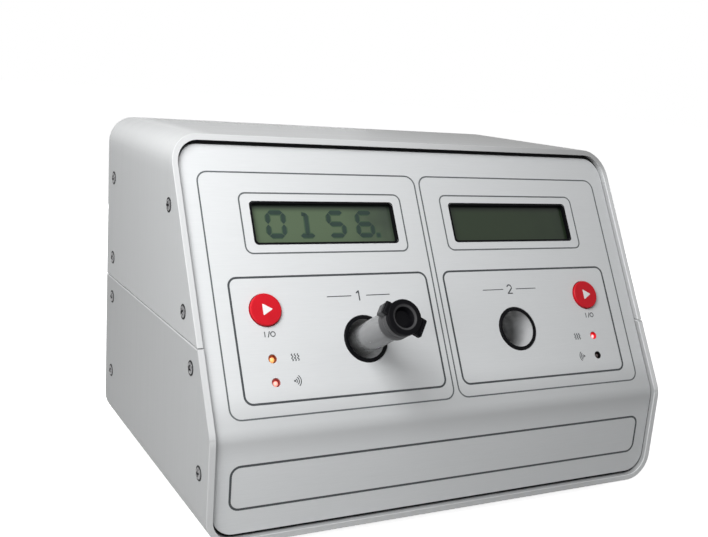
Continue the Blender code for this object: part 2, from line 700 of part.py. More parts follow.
def make_display(number, hand):
    place = (hand * WINDOW_U, WINDOW_V, 0)
    face = -PANEL_THICKNESS - GAP
    back = face - LCD_FRAME_DEPTH
    width, height = WINDOW_WIDTH + 2 * LCD_MARGIN, WINDOW_HEIGHT + 2 * LCD_MARGIN
    opening = around(0, 0, WINDOW_WIDTH - 2 * LCD_REVEAL, WINDOW_HEIGHT - 2 * LCD_REVEAL, WINDOW_CORNER)
    frame = plate("lcd_frame_%d" % number, [around(0, 0, width, height, WINDOW_CORNER), opening],
                  back, face, slope, place, "black_plastic")
    room_w, room_h = width - 2 * LCD_FRAME_WALL, height - 2 * LCD_FRAME_WALL
    room = plate("lcd_room_%d" % number, [around(0, 0, room_w, room_h, WINDOW_CORNER)],
                 back - OVERRUN, face - LCD_FRAME_LIP, slope, place)
    cut(frame, room)
    top = face - LCD_FRAME_LIP - GAP
    plate("lcd_glass_%d" % number, [around(0, 0, room_w - 2 * GAP, room_h - 2 * GAP, WINDOW_CORNER)],
          top - LCD_GLASS_THICKNESS, top, slope, place, "lcd_glass")
    board = around(0, 0, width + 2 * LCD_BOARD_MARGIN_U, height + 2 * LCD_BOARD_MARGIN_V, WINDOW_CORNER)
    plate("lcd_board_%d" % number, [board], back - GAP - LCD_BOARD_THICKNESS, back - GAP, slope, place,
          "circuit_board")


# Buttons and lamps

def make_controls(number, hand):
    place = (hand * BUTTON_U, START_V, 0)
    flange_top = -PANEL_THICKNESS - GAP
    flange_low = flange_top - START_FLANGE_THICKNESS
    stem_low = flange_low - START_FLANGE_THICKNESS
    wide = START_RADIUS + START_FLANGE
    profile = [(0, START_PROUD), (START_RADIUS - GAP, START_PROUD), (START_RADIUS, START_PROUD - GAP),
               (START_RADIUS, flange_top), (wide, flange_top), (wide, flange_low),
               (START_STEM_RADIUS, flange_low), (START_STEM_RADIUS, stem_low), (0, stem_low)]
    turned("start_button_%d" % number, profile, slope, place, "red_button")

    board_top = -CONTROL_BOARD_SINK
    low_v = SENSOR_LAMP_V - CONTROL_BOARD_MARGIN
    high_v = START_V + START_RADIUS + CONTROL_BOARD_MARGIN / 2
    half = CONTROL_BOARD_WIDTH / 2
    middle = hand * BUTTON_U
    ring = rounded(middle - half, middle + half, low_v, high_v, SPACER_RADIUS)
    board = plate("control_board_%d" % number, [ring], board_top - CONTROL_BOARD_THICKNESS, board_top, slope,
                  colour="circuit_board")
    sunk = board_top - CONTROL_BOARD_THICKNESS / 2
    key_top = stem_low - START_TRAVEL - GAP
    key = around(middle, START_V, SWITCH_SIZE, SWITCH_SIZE, GAP, CHAMFER_STEPS)
    fuse(board, plate("tact_key_%d" % number, [key], sunk, key_top, slope))
    inner, outer = half - 2 * SPACER_RADIUS, half - SPACER_RADIUS - GAP
    spacers = [disc(SPACER_RADIUS, middle - inner, low_v + 2 * SPACER_RADIUS, HOLE_STEPS),
               disc(SPACER_RADIUS, middle + inner, low_v + 2 * SPACER_RADIUS, HOLE_STEPS),
               disc(SPACER_RADIUS, middle - hand * outer, high_v - SPACER_RADIUS - GAP, HOLE_STEPS)]
    fuse(board, plate("spacers_%d" % number, spacers, sunk, flange_top, slope))

    base = board_top + GAP
    ring_top = base + LAMP_FLANGE_THICKNESS
    lamp = arc(0, -LAMP_SINK - LAMP_RADIUS, LAMP_RADIUS, math.pi / 2, 0, LENS_STEPS)
    lamp[0] = (0, -LAMP_SINK)
    lamp += [(LAMP_RADIUS, ring_top), (LAMP_RADIUS + LAMP_FLANGE, ring_top),
             (LAMP_RADIUS + LAMP_FLANGE, base), (0, base)]
    turned("heater_lamp_%d" % number, lamp, slope, (middle, HEATER_LAMP_V, 0), "amber_lens", HOLE_STEPS)
    turned("sensor_lamp_%d" % number, lamp, slope, (middle, SENSOR_LAMP_V, 0), "red_lens", HOLE_STEPS)


# Wells, drawn along each well's axis with the panel's face at height zero

def make_well(number, hand):
    place = (hand * WELL_U, WELL_V, 0)
    tag = "_%d" % number
    under = -PANEL_THICKNESS - GAP
    wide = RING_RADIUS + RING_FLANGE
    nose = WELL_RADIUS + ROTOR_NOSE_WALL
    behind_lip = RING_PROUD - RING_LIP
    ring = [(WELL_RADIUS, RING_PROUD), (RING_RADIUS - GAP, RING_PROUD), (RING_RADIUS, RING_PROUD - GAP),
            (RING_RADIUS, under), (wide, under), (wide, -RING_BACK), (nose + GAP, -RING_BACK),
            (nose + GAP, behind_lip), (WELL_RADIUS, behind_lip)]
    turned("well_ring" + tag, ring, slope, place, "black_plastic", closed=True)

    narrow = TUBE_RADIUS + TUBE_CLEARANCE
    shaft_low = -PLATE_BACK - SHAFT_END
    rotor = [(0, TUBE_TIP - GAP), (narrow, TUBE_TIP - GAP), (narrow, -BORE_SHOULDER - BORE_TAPER),
             (WELL_RADIUS, -BORE_SHOULDER), (WELL_RADIUS, behind_lip - GAP), (nose, behind_lip - GAP),
             (nose, -ROTOR_FRONT), (ROTOR_RADIUS, -ROTOR_FRONT), (ROTOR_RADIUS, -ROTOR_BASE),
             (SHAFT_RADIUS, -ROTOR_BASE), (SHAFT_RADIUS, shaft_low), (0, shaft_low)]
    turned("well_rotor" + tag, rotor, slope, place, "turned_aluminium")

    inner = ROTOR_RADIUS + GAP
    bush = [(inner, -BUSH_FRONT), (BUSH_RADIUS, -BUSH_FRONT), (BUSH_RADIUS, -BUSH_FRONT - BUSH_WIDTH),
            (inner, -BUSH_FRONT - BUSH_WIDTH)]
    turned("front_bush" + tag, bush, slope, place, "bronze", INNER_STEPS, closed=True)

    inner = SHAFT_RADIUS + GAP
    flanged = REAR_BUSH_RADIUS + BUSH_FLANGE
    behind = -PLATE_BACK - GAP
    bush = [(inner, -PLATE_FRONT), (REAR_BUSH_RADIUS, -PLATE_FRONT), (REAR_BUSH_RADIUS, behind),
            (flanged, behind), (flanged, behind - PLATE_THICKNESS / 2),
            (inner, behind - PLATE_THICKNESS / 2)]
    turned("rear_bush" + tag, bush, slope, place, "bronze", INNER_STEPS, closed=True)
    make_block(tag, hand, place)
    make_gears(tag, place)


def make_block(tag, hand, place):
    half = BLOCK_SIDE / 2
    near = half - CARTRIDGE_INSET
    corner = (hand * near, -near)
    ring = rounded(-half, half, -half, half, BLOCK_CHAMFER, BLOCK_CORNER_STEPS)
    bore = disc(BLOCK_BORE, steps=INNER_STEPS)
    block = plate("heater_block" + tag, [ring, bore], -BLOCK_BACK, -PANEL_THICKNESS - GAP, slope, place,
                  "turned_aluminium")
    seat_low = -BUSH_FRONT - BUSH_WIDTH - GAP
    cut(block, plate("bush_seat" + tag, [disc(SEAT_RADIUS)], seat_low, OVERRUN, slope, place))
    drill_top = -BLOCK_BACK + CARTRIDGE_LENGTH
    cut(block, plate("cartridge_hole" + tag, [disc(CARTRIDGE_RADIUS + GAP, *corner, HOLE_STEPS)],
                     -BLOCK_BACK - OVERRUN, drill_top + GAP, slope, place))
    cartridge_low = -BLOCK_BACK - CARTRIDGE_RADIUS
    cartridge = [(0, drill_top), (CARTRIDGE_RADIUS, drill_top), (CARTRIDGE_RADIUS, cartridge_low),
                 (0, cartridge_low)]
    at = (place[0] + corner[0], place[1] + corner[1], 0)
    turned("heater_cartridge" + tag, cartridge, slope, at, "steel", HOLE_STEPS)

    # The sensor looks at the rotor through a hole in the block's underside.
    across = empty("sensor_axis" + tag, (place[0], place[1], -SENSOR_DEPTH), (math.pi / 2, 0, 0), slope)
    start = ROTOR_RADIUS + SENSOR_CLEARANCE
    cut(block, plate("sensor_hole" + tag, [disc(SENSOR_RADIUS + GAP, steps=HOLE_STEPS)],
                     ROTOR_RADIUS / 2, half + OVERRUN, across))
    sensor = [(0, start + SENSOR_LENGTH), (SENSOR_RADIUS, start + SENSOR_LENGTH), (SENSOR_RADIUS, start),
              (0, start)]
    turned("clot_sensor" + tag, sensor, across, (0, 0, 0), "black_plastic", HOLE_STEPS)


def make_gears(tag, place):
    middle = -GEAR_FRONT - GEAR_WIDTH / 2
    rings = [gear_ring(ROTOR_TEETH, math.pi / 2), disc(SHAFT_RADIUS + GAP, steps=INNER_STEPS)]
    plate("rotor_gear" + tag, rings, middle - GEAR_WIDTH / 2, middle + GEAR_WIDTH / 2, slope, place,
          "white_nylon")

    above = (place[0], place[1] + GEAR_DISTANCE, 0)
    aim = -math.pi / 2 + math.pi / PINION_TEETH
    pinion = plate("motor_pinion" + tag, [gear_ring(PINION_TEETH, aim)], middle - PINION_WIDTH / 2,
                   middle + PINION_WIDTH / 2, slope, above, "steel")
    hub_top = middle + GEAR_WIDTH / 2
    gearbox_top = -PLATE_BACK - GAP
    shaft_low = gearbox_top - GEARBOX_LENGTH / 2
    fuse(pinion, plate("pinion_shaft" + tag, [disc(MOTOR_SHAFT_RADIUS, steps=HOLE_STEPS)], shaft_low,
                       hub_top, slope, above))
    gearbox_low = gearbox_top - GEARBOX_LENGTH
    motor_low = gearbox_low - MOTOR_LENGTH
    bore = MOTOR_SHAFT_RADIUS + GAP
    motor = [(0, shaft_low - GAP), (bore, shaft_low - GAP), (bore, gearbox_top),
             (GEARBOX_RADIUS, gearbox_top), (GEARBOX_RADIUS, gearbox_low), (MOTOR_RADIUS, gearbox_low),
             (MOTOR_RADIUS, motor_low), (MOTOR_CAP_RADIUS, motor_low),
             (MOTOR_CAP_RADIUS, motor_low - MOTOR_CAP_LENGTH), (0, motor_low - MOTOR_CAP_LENGTH)]
    turned("gear_motor" + tag, motor, slope, above, "steel", INNER_STEPS)


def make_drive_plate():
    """One plate carries both rear bushes and both motors, on three pillars from each heater block."""
    low, high = WELL_V - PLATE_BELOW, WELL_V + GEAR_DISTANCE + PLATE_ABOVE
    rings = [rounded(-PLATE_HALF, PLATE_HALF, low, high, PLATE_CORNER)]
    pillars = []
    reach = BLOCK_SIDE / 2 - PILLAR_INSET
    for hand in (-1, 1):
        rings.append(disc(REAR_BUSH_RADIUS + GAP, hand * WELL_U, WELL_V, INNER_STEPS))
        rings.append(disc(MOTOR_SHAFT_RADIUS + GEAR_CLEARANCE, hand * WELL_U, WELL_V + GEAR_DISTANCE,
                          HOLE_STEPS))
        for x, y in ((-reach, reach), (reach, reach), (-hand * reach, -reach)):
            pillars.append(disc(PILLAR_RADIUS, hand * WELL_U + x, WELL_V + y, HOLE_STEPS))
    made = plate("drive_plate", rings, -PLATE_BACK, -PLATE_FRONT, slope, colour="steel")
    fuse(made, plate("drive_pillars", pillars, -PLATE_FRONT - PLATE_THICKNESS / 2, -BLOCK_BACK - GAP, slope))


# Test tube: barrel, cap, hinged lid and the magnet that the sensor follows

def make_tube():
    place = (-WELL_U, WELL_V, 0)
    inner = TUBE_RADIUS - TUBE_WALL
    centre = TUBE_TIP + TUBE_RADIUS
    bowl = arc(0, centre, inner, -math.pi / 2, 0, DOME_STEPS)
    bowl[0] = (0, centre - inner)
    dome = arc(0, centre, TUBE_RADIUS, 0, -math.pi / 2, DOME_STEPS)
    dome[-1] = (0, TUBE_TIP)
    turned("tube_barrel", bowl + [(inner, TUBE_TOP), (TUBE_RADIUS, TUBE_TOP)] + dome, slope, place,
           "tube_plastic")

    # The magnet lies along the barrel's lower side, just above its round end.
    high = centre + MAGNET_LENGTH
    resting = (place[0], place[1] - (inner - MAGNET_RADIUS - GAP), 0)
    turned("tube_magnet", [(0, high), (MAGNET_RADIUS, high), (MAGNET_RADIUS, centre), (0, centre)], slope,
           resting, "magnet", HOLE_STEPS)

    top = CAP_REACH - LID_THICKNESS - GAP
    skirt = CAP_REACH - CAP_HEIGHT
    hug = TUBE_RADIUS + GAP
    body = [(CAP_MOUTH_RADIUS, top), (CAP_RADIUS, top), (CAP_RADIUS, skirt), (hug, skirt),
            (hug, top - CAP_TOP_THICKNESS), (CAP_MOUTH_RADIUS, top - CAP_TOP_THICKNESS)]
    cap = turned("tube_cap", body, slope, place, "black_plastic", closed=True)

    # The hinge lies opposite the thumb tab, with its line across the lid.
    hinge_angle = TAB_ANGLE + math.pi
    across, along = math.cos(hinge_angle), math.sin(hinge_angle)
    hinge_at = (place[0] + HINGE_REACH * across, WELL_V + HINGE_REACH * along, CAP_REACH - LID_THICKNESS / 2)
    hinge = empty("lid_hinge", hinge_at, (0, 0, TAB_ANGLE), slope)
    ear_root = HINGE_REACH - (CAP_RADIUS + hug) / 2
    fuse(cap, plate("cap_ear", [box(-HINGE_RADIUS, ear_root, -HINGE_WIDTH / 2, HINGE_WIDTH / 2)],
                    skirt - hinge_at[2] + CAP_HEIGHT / 3, top - hinge_at[2], hinge))

    # The lid is drawn from its hinge line, with the thumb tab at the far end.
    half = LID_THICKNESS / 2
    tab = TAB_REACH + HINGE_REACH
    lid = plate("tube_lid", [disc(LID_RADIUS, HINGE_REACH, 0)], -half, half, hinge, colour="black_plastic")
    fuse(lid, plate("lid_tab", [rounded(HINGE_REACH, tab, -TAB_WIDTH / 2, TAB_WIDTH / 2, GAP)], -half,
                    half - GAP, hinge))
    knuckle_end = HINGE_REACH - LID_RADIUS + HINGE_RADIUS
    knuckle = arc(0, 0, HINGE_RADIUS, math.pi / 2, 3 * math.pi / 2, DOME_STEPS)
    knuckle += [(knuckle_end, -HINGE_RADIUS), (knuckle_end, HINGE_RADIUS)]
    crosswise = empty("lid_knuckle_axis", (0, 0, 0), (math.pi / 2, 0, 0), hinge)
    fuse(lid, plate("lid_knuckle", [knuckle], -HINGE_WIDTH / 2, HINGE_WIDTH / 2, crosswise))
    fuse(lid, plate("lid_plug", [disc(LID_PLUG_RADIUS, HINGE_REACH, 0)], -half - GAP - LID_PLUG_LENGTH, 0,
                    hinge))
    cut(lid, plate("lid_recess", [disc(LID_RECESS_RADIUS, HINGE_REACH, 0)], half - LID_RECESS_DEPTH,
                   half + OVERRUN, hinge))


# Electronics on the case's floor

def make_main_board():
    left, deep = BOARD_LEFT, BOARD_REAR - BOARD_DEPTH
    top = BOARD_UNDER + BOARD_THICKNESS
    sunk = top - BOARD_THICKNESS / 2
    board = plate("main_board", [box(left, BOARD_RIGHT, deep, BOARD_REAR)], BOARD_UNDER, top, case,
                  colour="circuit_board")
    x, y = (left + BOARD_RIGHT) / 2, (deep + BOARD_REAR) / 2
    chips = [around(x, y, CHIP_SIDE, CHIP_SIDE, GAP, CHAMFER_STEPS),
             around(x + 2 * CHIP_SIDE, y, CHIP_SIDE, CHIP_SIDE / 2, GAP, CHAMFER_STEPS),
             around(x - 2 * CHIP_SIDE, y - CHIP_SIDE, CHIP_SIDE, CHIP_SIDE / 2, GAP, CHAMFER_STEPS)]
    fuse(board, plate("chips", chips, sunk, top + CHIP_HEIGHT, case))
    sockets = []
    for spot in (-1, 1):
        for edge in (BOARD_REAR - SOCKET_DEPTH, deep + SOCKET_DEPTH):
            sockets.append(around(x + spot * SOCKET_WIDTH, edge, SOCKET_WIDTH, SOCKET_DEPTH, GAP,
                                  CHAMFER_STEPS))
    fuse(board, plate("sockets", sockets, sunk, top + SOCKET_HEIGHT, case))
    cans = [disc(CAPACITOR_RADIUS, left + 2 * CAPACITOR_RADIUS, y + spot * 3 * CAPACITOR_RADIUS, HOLE_STEPS)
            for spot in (-1, 0, 1)]
    fuse(board, plate("capacitors", cans, sunk, top + CAPACITOR_HEIGHT, case))


def make_transformer():
    floor = WALL + GAP
    left, right = TRANSFORMER_X - TRANSFORMER_WIDTH / 2, TRANSFORMER_X + TRANSFORMER_WIDTH / 2
    rear_end = BOARD_REAR
    middle = rear_end - TRANSFORMER_PITCH / 2
    near, far = middle - TRANSFORMER_DEPTH / 2, middle + TRANSFORMER_DEPTH / 2
    core = plate("transformer", [box(left, right, near, far)], floor, floor + TRANSFORMER_HEIGHT, case,
                 colour="steel")
    feet = rounded(left + GAP, right - GAP, rear_end - TRANSFORMER_PITCH, rear_end, COIL_INSET)
    fuse(core, plate("transformer_feet", [feet], floor + GAP, floor + TRANSFORMER_FOOT, case))
    coil = rounded(left + COIL_INSET, right - COIL_INSET, near - COIL_OVERHANG, far + COIL_OVERHANG,
                   COIL_INSET)
    fuse(core, plate("transformer_coil", [coil], floor + COIL_OVERHANG,
                     floor + TRANSFORMER_HEIGHT - COIL_OVERHANG, case))


# Rear fittings, drawn as seen from behind with the rear panel's face at height zero

def make_inlet():
    place = (-INLET_X, REAR_ROW, 0)
    face = GAP + INLET_FLANGE_THICKNESS
    body = around(0, 0, INLET_WIDTH, INLET_HEIGHT, INLET_CORNER)
    flange = around(0, 0, INLET_WIDTH + 2 * INLET_FLANGE, INLET_HEIGHT + 2 * INLET_FLANGE, INLET_CORNER)
    inlet = plate("power_inlet", [body], -INLET_DEPTH, face - GAP, rear, place, "black_plastic")
    fuse(inlet, plate("inlet_flange", [flange], GAP, face, rear, place))

    x = SOCKET_OPEN_WIDTH / 2
    y0, y1 = SOCKET_RISE - SOCKET_OPEN_HEIGHT / 2, SOCKET_RISE + SOCKET_OPEN_HEIGHT / 2
    mouth = [(-x, y0), (x, y0), (x, y1 - SOCKET_BEVEL), (x - SOCKET_BEVEL, y1), (SOCKET_BEVEL - x, y1),
             (-x, y1 - SOCKET_BEVEL)]
    socket_low = face - SOCKET_OPEN_DEPTH
    cut(inlet, plate("socket_room", [mouth], socket_low, face + OVERRUN, rear, place))
    blades = [around(spot * BLADE_PITCH, SOCKET_RISE + (0 if spot else BLADE_RISE), BLADE_WIDTH,
                     BLADE_HEIGHT, GAP, CHAMFER_STEPS) for spot in (-1, 0, 1)]
    fuse(inlet, plate("inlet_blades", blades, socket_low - GAP, socket_low + BLADE_LENGTH, rear, place))

    slot = around(0, -FUSE_DROP, FUSE_WIDTH + 2 * FITTING_CLEARANCE, FUSE_HEIGHT + 2 * FITTING_CLEARANCE,
                  GAP, CHAMFER_STEPS)
    cut(inlet, plate("fuse_slot", [slot], face - FUSE_DEPTH - FITTING_CLEARANCE, face + OVERRUN, rear,
                     place))
    drawer = plate("fuse_drawer", [around(0, 0, FUSE_WIDTH, FUSE_HEIGHT, GAP, CHAMFER_STEPS)], -FUSE_DEPTH,
                   FUSE_FACE, rear, (place[0], place[1] - FUSE_DROP, face), "grey_plastic")
    trough = empty("fuse_trough_axis", (place[0], place[1] - FUSE_DROP + FUSE_HEIGHT / 2, face),
                   (0, math.pi / 2, 0), rear)
    half = FUSE_TROUGH_LENGTH / 2
    cut(drawer, plate("fuse_trough", [disc(FUSE_TROUGH_RADIUS, FUSE_DEPTH / 2, 0, HOLE_STEPS)], -half, half,
                      trough))


def make_switch():
    place = (-SWITCH_X, REAR_ROW, 0)
    face = GAP + SWITCH_FLANGE_THICKNESS
    body = around(0, 0, SWITCH_BODY_WIDTH, SWITCH_BODY_HEIGHT, INLET_CORNER)
    flange = around(0, 0, SWITCH_BODY_WIDTH + 2 * SWITCH_FLANGE, SWITCH_BODY_HEIGHT + 2 * SWITCH_FLANGE,
                    INLET_CORNER)
    housing = plate("switch_housing", [body], -SWITCH_BODY_DEPTH, face - GAP, rear, place, "black_plastic")
    fuse(housing, plate("switch_flange", [flange], GAP, face, rear, place))
    room_w, room_h = SWITCH_BODY_WIDTH - 2 * SWITCH_WALL, SWITCH_BODY_HEIGHT - 2 * SWITCH_WALL
    pivot = face - ROCKER_SINK
    reach = math.hypot(ROCKER_DEPTH, ROCKER_DEPTH)
    cut(housing, plate("rocker_room", [around(0, 0, room_w, room_h, GAP)], pivot - reach - FITTING_CLEARANCE,
                       face + OVERRUN, rear, place))
    half = (room_h / 2 - FITTING_CLEARANCE - ROCKER_SKIRT * math.sin(ROCKER_TILT)) * math.cos(ROCKER_TILT)
    lean = empty("rocker_axis", (place[0], place[1], pivot), (-ROCKER_TILT, 0, 0), rear)
    cheek = empty("rocker_drawing", (0, 0, 0), (math.pi / 2, 0, math.pi / 2), lean)
    outline = [(-half, ROCKER_RISE + ROCKER_HORN), (-half, ROCKER_SKIRT), (-ROCKER_DEPTH / 2, -ROCKER_DEPTH),
               (ROCKER_DEPTH / 2, -ROCKER_DEPTH), (half, ROCKER_SKIRT), (half, ROCKER_RISE + ROCKER_HORN),
               (0, ROCKER_RISE)]
    wide = room_w / 2 - FITTING_CLEARANCE
    plate("power_rocker", [outline], -wide, wide, cheek, colour="black_plastic")


def make_serial_port():
    place = (-SERIAL_X, REAR_ROW, 0)
    x, y = SERIAL_WIDTH / 2, SERIAL_HEIGHT / 2
    shell = [(SERIAL_SLANT - x, -y), (x - SERIAL_SLANT, -y), (x, y), (-x, y)]
    flange = around(0, 0, SERIAL_WIDTH + 2 * SERIAL_FLANGE_X, SERIAL_HEIGHT + 2 * SERIAL_FLANGE_Z,
                    SERIAL_CORNER)
    port = plate("serial_port", [flange], GAP, GAP + SERIAL_FLANGE_THICKNESS, rear, place, "steel")
    fuse(port, plate("serial_shell", [shell], GAP + SERIAL_FLANGE_THICKNESS / 2, SERIAL_REACH, rear, place))
    inside = box(SERIAL_SLANT - x, x - SERIAL_SLANT, SERIAL_SLANT / 2 - y, y - SERIAL_SLANT / 2)
    fuse(port, plate("serial_body", [inside], -SERIAL_BODY_DEPTH, GAP + SERIAL_FLANGE_THICKNESS / 3, rear,
                     place))


make_case()
make_feet()
for number, hand in ((1, -1), (2, 1)):
    make_display(number, hand)
    make_controls(number, hand)
    make_well(number, hand)
make_drive_plate()
make_tube()
make_main_board()
make_transformer()
make_inlet()
make_switch()
make_serial_port()
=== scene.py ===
import json
import math

import bmesh
import bpy
from mathutils import Matrix, Vector


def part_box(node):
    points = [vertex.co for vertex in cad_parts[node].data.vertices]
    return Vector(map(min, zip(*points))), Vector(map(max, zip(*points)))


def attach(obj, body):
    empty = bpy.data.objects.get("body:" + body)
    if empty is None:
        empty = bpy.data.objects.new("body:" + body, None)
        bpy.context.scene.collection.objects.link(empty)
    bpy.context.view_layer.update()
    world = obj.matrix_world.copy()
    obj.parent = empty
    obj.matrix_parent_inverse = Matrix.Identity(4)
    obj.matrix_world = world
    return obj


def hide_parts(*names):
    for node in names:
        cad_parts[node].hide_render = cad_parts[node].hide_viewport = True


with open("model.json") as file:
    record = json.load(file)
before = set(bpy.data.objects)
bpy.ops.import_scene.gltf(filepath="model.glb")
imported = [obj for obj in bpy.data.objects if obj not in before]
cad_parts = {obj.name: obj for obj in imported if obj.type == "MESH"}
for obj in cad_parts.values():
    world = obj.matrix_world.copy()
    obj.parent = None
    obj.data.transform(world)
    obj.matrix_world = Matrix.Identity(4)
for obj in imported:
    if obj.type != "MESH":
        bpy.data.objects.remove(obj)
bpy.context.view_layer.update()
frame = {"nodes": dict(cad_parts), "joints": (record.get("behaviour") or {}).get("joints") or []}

print("frame loaded, building the analyzer's visible pieces")


# Drawings are in millimetres. A drawing frame brings them to metres and to their place.

def drawingFrame(origin, across, up):
    turn = Matrix((across, up, across.cross(up))).transposed().to_4x4()
    return Matrix.Translation(origin) @ turn @ Matrix.Scale(0.001, 4)


panelLayout = {
    "wellU": 38.15, "wellV": 34.0,          # from the middle, and up the slope from the knee
    "buttonU": 80.1, "startV": 47.9, "heaterV": 28.5, "sensorV": 19.2,
    "windowU": 47.2, "windowV": 83.8, "windowWidth": 65.0, "windowHeight": 17.6,
}
joints = {joint["name"]: joint for joint in frame["joints"]}
wellJoint = joints["rotor_1_spin"]
outward = Vector(wellJoint["axis"]).normalized()
rightward, skyward, rearward = Vector((1, 0, 0)), Vector((0, 0, 1)), Vector((0, 1, 0))
upSlope = outward.cross(rightward)
knee = Vector(wellJoint["pos_m"]) - upSlope * panelLayout["wellV"] * 0.001
knee.x = 0
slopeFrame = drawingFrame(knee, rightward, upSlope)
stripFrame = drawingFrame(knee, rightward, skyward)
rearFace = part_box("rear_panel")[1].y
rearRow = 0.063
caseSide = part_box("upper_shell")[1].x


def slopePlace(u, v, out=0.0):
    return slopeFrame @ Matrix.Translation((u, v, out))


def rearPlace(x, z=rearRow):
    return drawingFrame(Vector((x, rearFace, z)), -rightward, skyward)


# Outlines

def arc(x, y, radius, start, end, steps):
    turn = math.radians(end - start) / steps
    first = math.radians(start)
    return [(x + radius * math.cos(first + i * turn), y + radius * math.sin(first + i * turn))
            for i in range(steps + 1)]


def disc(radius, x=0.0, y=0.0, steps=48):
    return arc(x, y, radius, 0, 360 - 360 / steps, steps - 1)


def rounded(x, y, width, height, radius, steps=6):
    right, top = width / 2 - radius, height / 2 - radius
    ring = []
    for i, (cx, cy) in enumerate(((right, top), (-right, top), (-right, -top), (right, -top))):
        ring += arc(x + cx, y + cy, radius, 90 * i, 90 * i + 90, steps)
    return ring


def border(x, y, width, height, radius, line):
    # a rounded rectangle drawn as a line, as an outer and an inner ring
    return [rounded(x, y, width + line, height + line, radius + line / 2),
            rounded(x, y, width - line, height - line, radius - line / 2)]


def softened(points, reach, steps=3, closed=False):
    # rounds the corners of a drawing
    soft = []
    for i, point in enumerate(points):
        here = Vector(point)
        if not closed and i in (0, len(points) - 1):
            soft.append(tuple(here))
            continue
        back = Vector(points[i - 1]) - here
        ahead = Vector(points[(i + 1) % len(points)]) - here
        cut = min(reach, back.length * 0.45, ahead.length * 0.45)
        start, end = here + back.normalized() * cut, here + ahead.normalized() * cut
        for k in range(steps + 1):
            t = k / steps
            soft.append(tuple(start * (1 - t) ** 2 + here * (2 * t * (1 - t)) + end * t * t))
    return soft


def stroke(points, width, steps=5):
    # the outline of a pen line with round ends
    path = [Vector(point) for point in points]
    left, right = [], []
    for i, here in enumerate(path):
        along = (path[min(i + 1, len(path) - 1)] - path[max(i - 1, 0)]).normalized()
        across = Vector((-along.y, along.x)) * width / 2
        left.append(tuple(here + across))
        right.append(tuple(here - across))

    def tip(centre, toward):
        heading = math.degrees(math.atan2(toward.y, toward.x))
        return arc(centre.x, centre.y, width / 2, heading + 90, heading - 90, steps)[1:-1]

    end = tip(path[-1], path[-1] - path[-2])
    start = tip(path[0], path[0] - path[1])
    return left + end + right[::-1] + start


# Meshes

meshLook = {"weld": 0.0000005, "packedWeld": 0.000002, "sharp": 32, "bevelAbove": 35, "bevelSegments": 2}


def curveMesh(curve):
    drawn = bpy.data.objects.new("drawing", curve)
    bpy.context.scene.collection.objects.link(drawn)
    mesh = bpy.data.meshes.new_from_object(drawn.evaluated_get(bpy.context.evaluated_depsgraph_get()))
    bpy.data.objects.remove(drawn)
    bpy.data.curves.remove(curve)
    return mesh


def flat(rings, low, high, place=Matrix()):
    # a flat drawing of closed rings, solid from low to high
    curve = bpy.data.curves.new("drawing", "CURVE")
    curve.dimensions = "2D"
    curve.fill_mode = "BOTH"
    curve.extrude = (high - low) / 2
    for ring in rings:
        spline = curve.splines.new("POLY")
        spline.points.add(len(ring) - 1)
        for point, (x, y) in zip(spline.points, ring):
            point.co = (x, y, 0, 1)
        spline.use_cyclic_u = True
    mesh = curveMesh(curve)
    mesh.transform(place @ Matrix.Translation((0, 0, (low + high) / 2)))
    return mesh


def turned(profile, place=Matrix(), steps=64, closed=False):
    # a profile of radius and height turned about the drawing's own axis
    mesh = bpy.data.meshes.new("turned")
    points, faces = [], []
    count = len(profile)
    for i in range(steps):
        turn = 2 * math.pi * i / steps
        points += [(r * math.cos(turn), r * math.sin(turn), z) for r, z in profile]
        here, after = i * count, (i + 1) % steps * count
        for k in range(count if closed else count - 1):
            n = (k + 1) % count
            faces.append((here + k, here + n, after + n, after + k))
    mesh.from_pydata(points, [], faces)
    mesh.transform(place)
    return mesh


def piece(name, meshes, body, finish, stands=()):
    # one visible piece made of the given meshes, all in one finish
    shape = bmesh.new()
    for mesh in meshes:
        shape.from_mesh(mesh)
        bpy.data.meshes.remove(mesh)
    bmesh.ops.remove_doubles(shape, verts=shape.verts, dist=meshLook["weld"])
    bmesh.ops.dissolve_degenerate(shape, edges=shape.edges, dist=meshLook["weld"])
    bmesh.ops.recalc_face_normals(shape, faces=shape.faces)
    mesh = bpy.data.meshes.new(name)
    shape.to_mesh(mesh)
    shape.free()
    mesh.shade_smooth()
    mesh.set_sharp_from_angle(angle=math.radians(meshLook["sharp"]))
    mesh.materials.append(finish)
    made = bpy.data.objects.new(name, mesh)
    bpy.context.scene.collection.objects.link(made)
    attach(made, body)
    if stands:
        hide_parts(*stands)
    return made


# Finishes

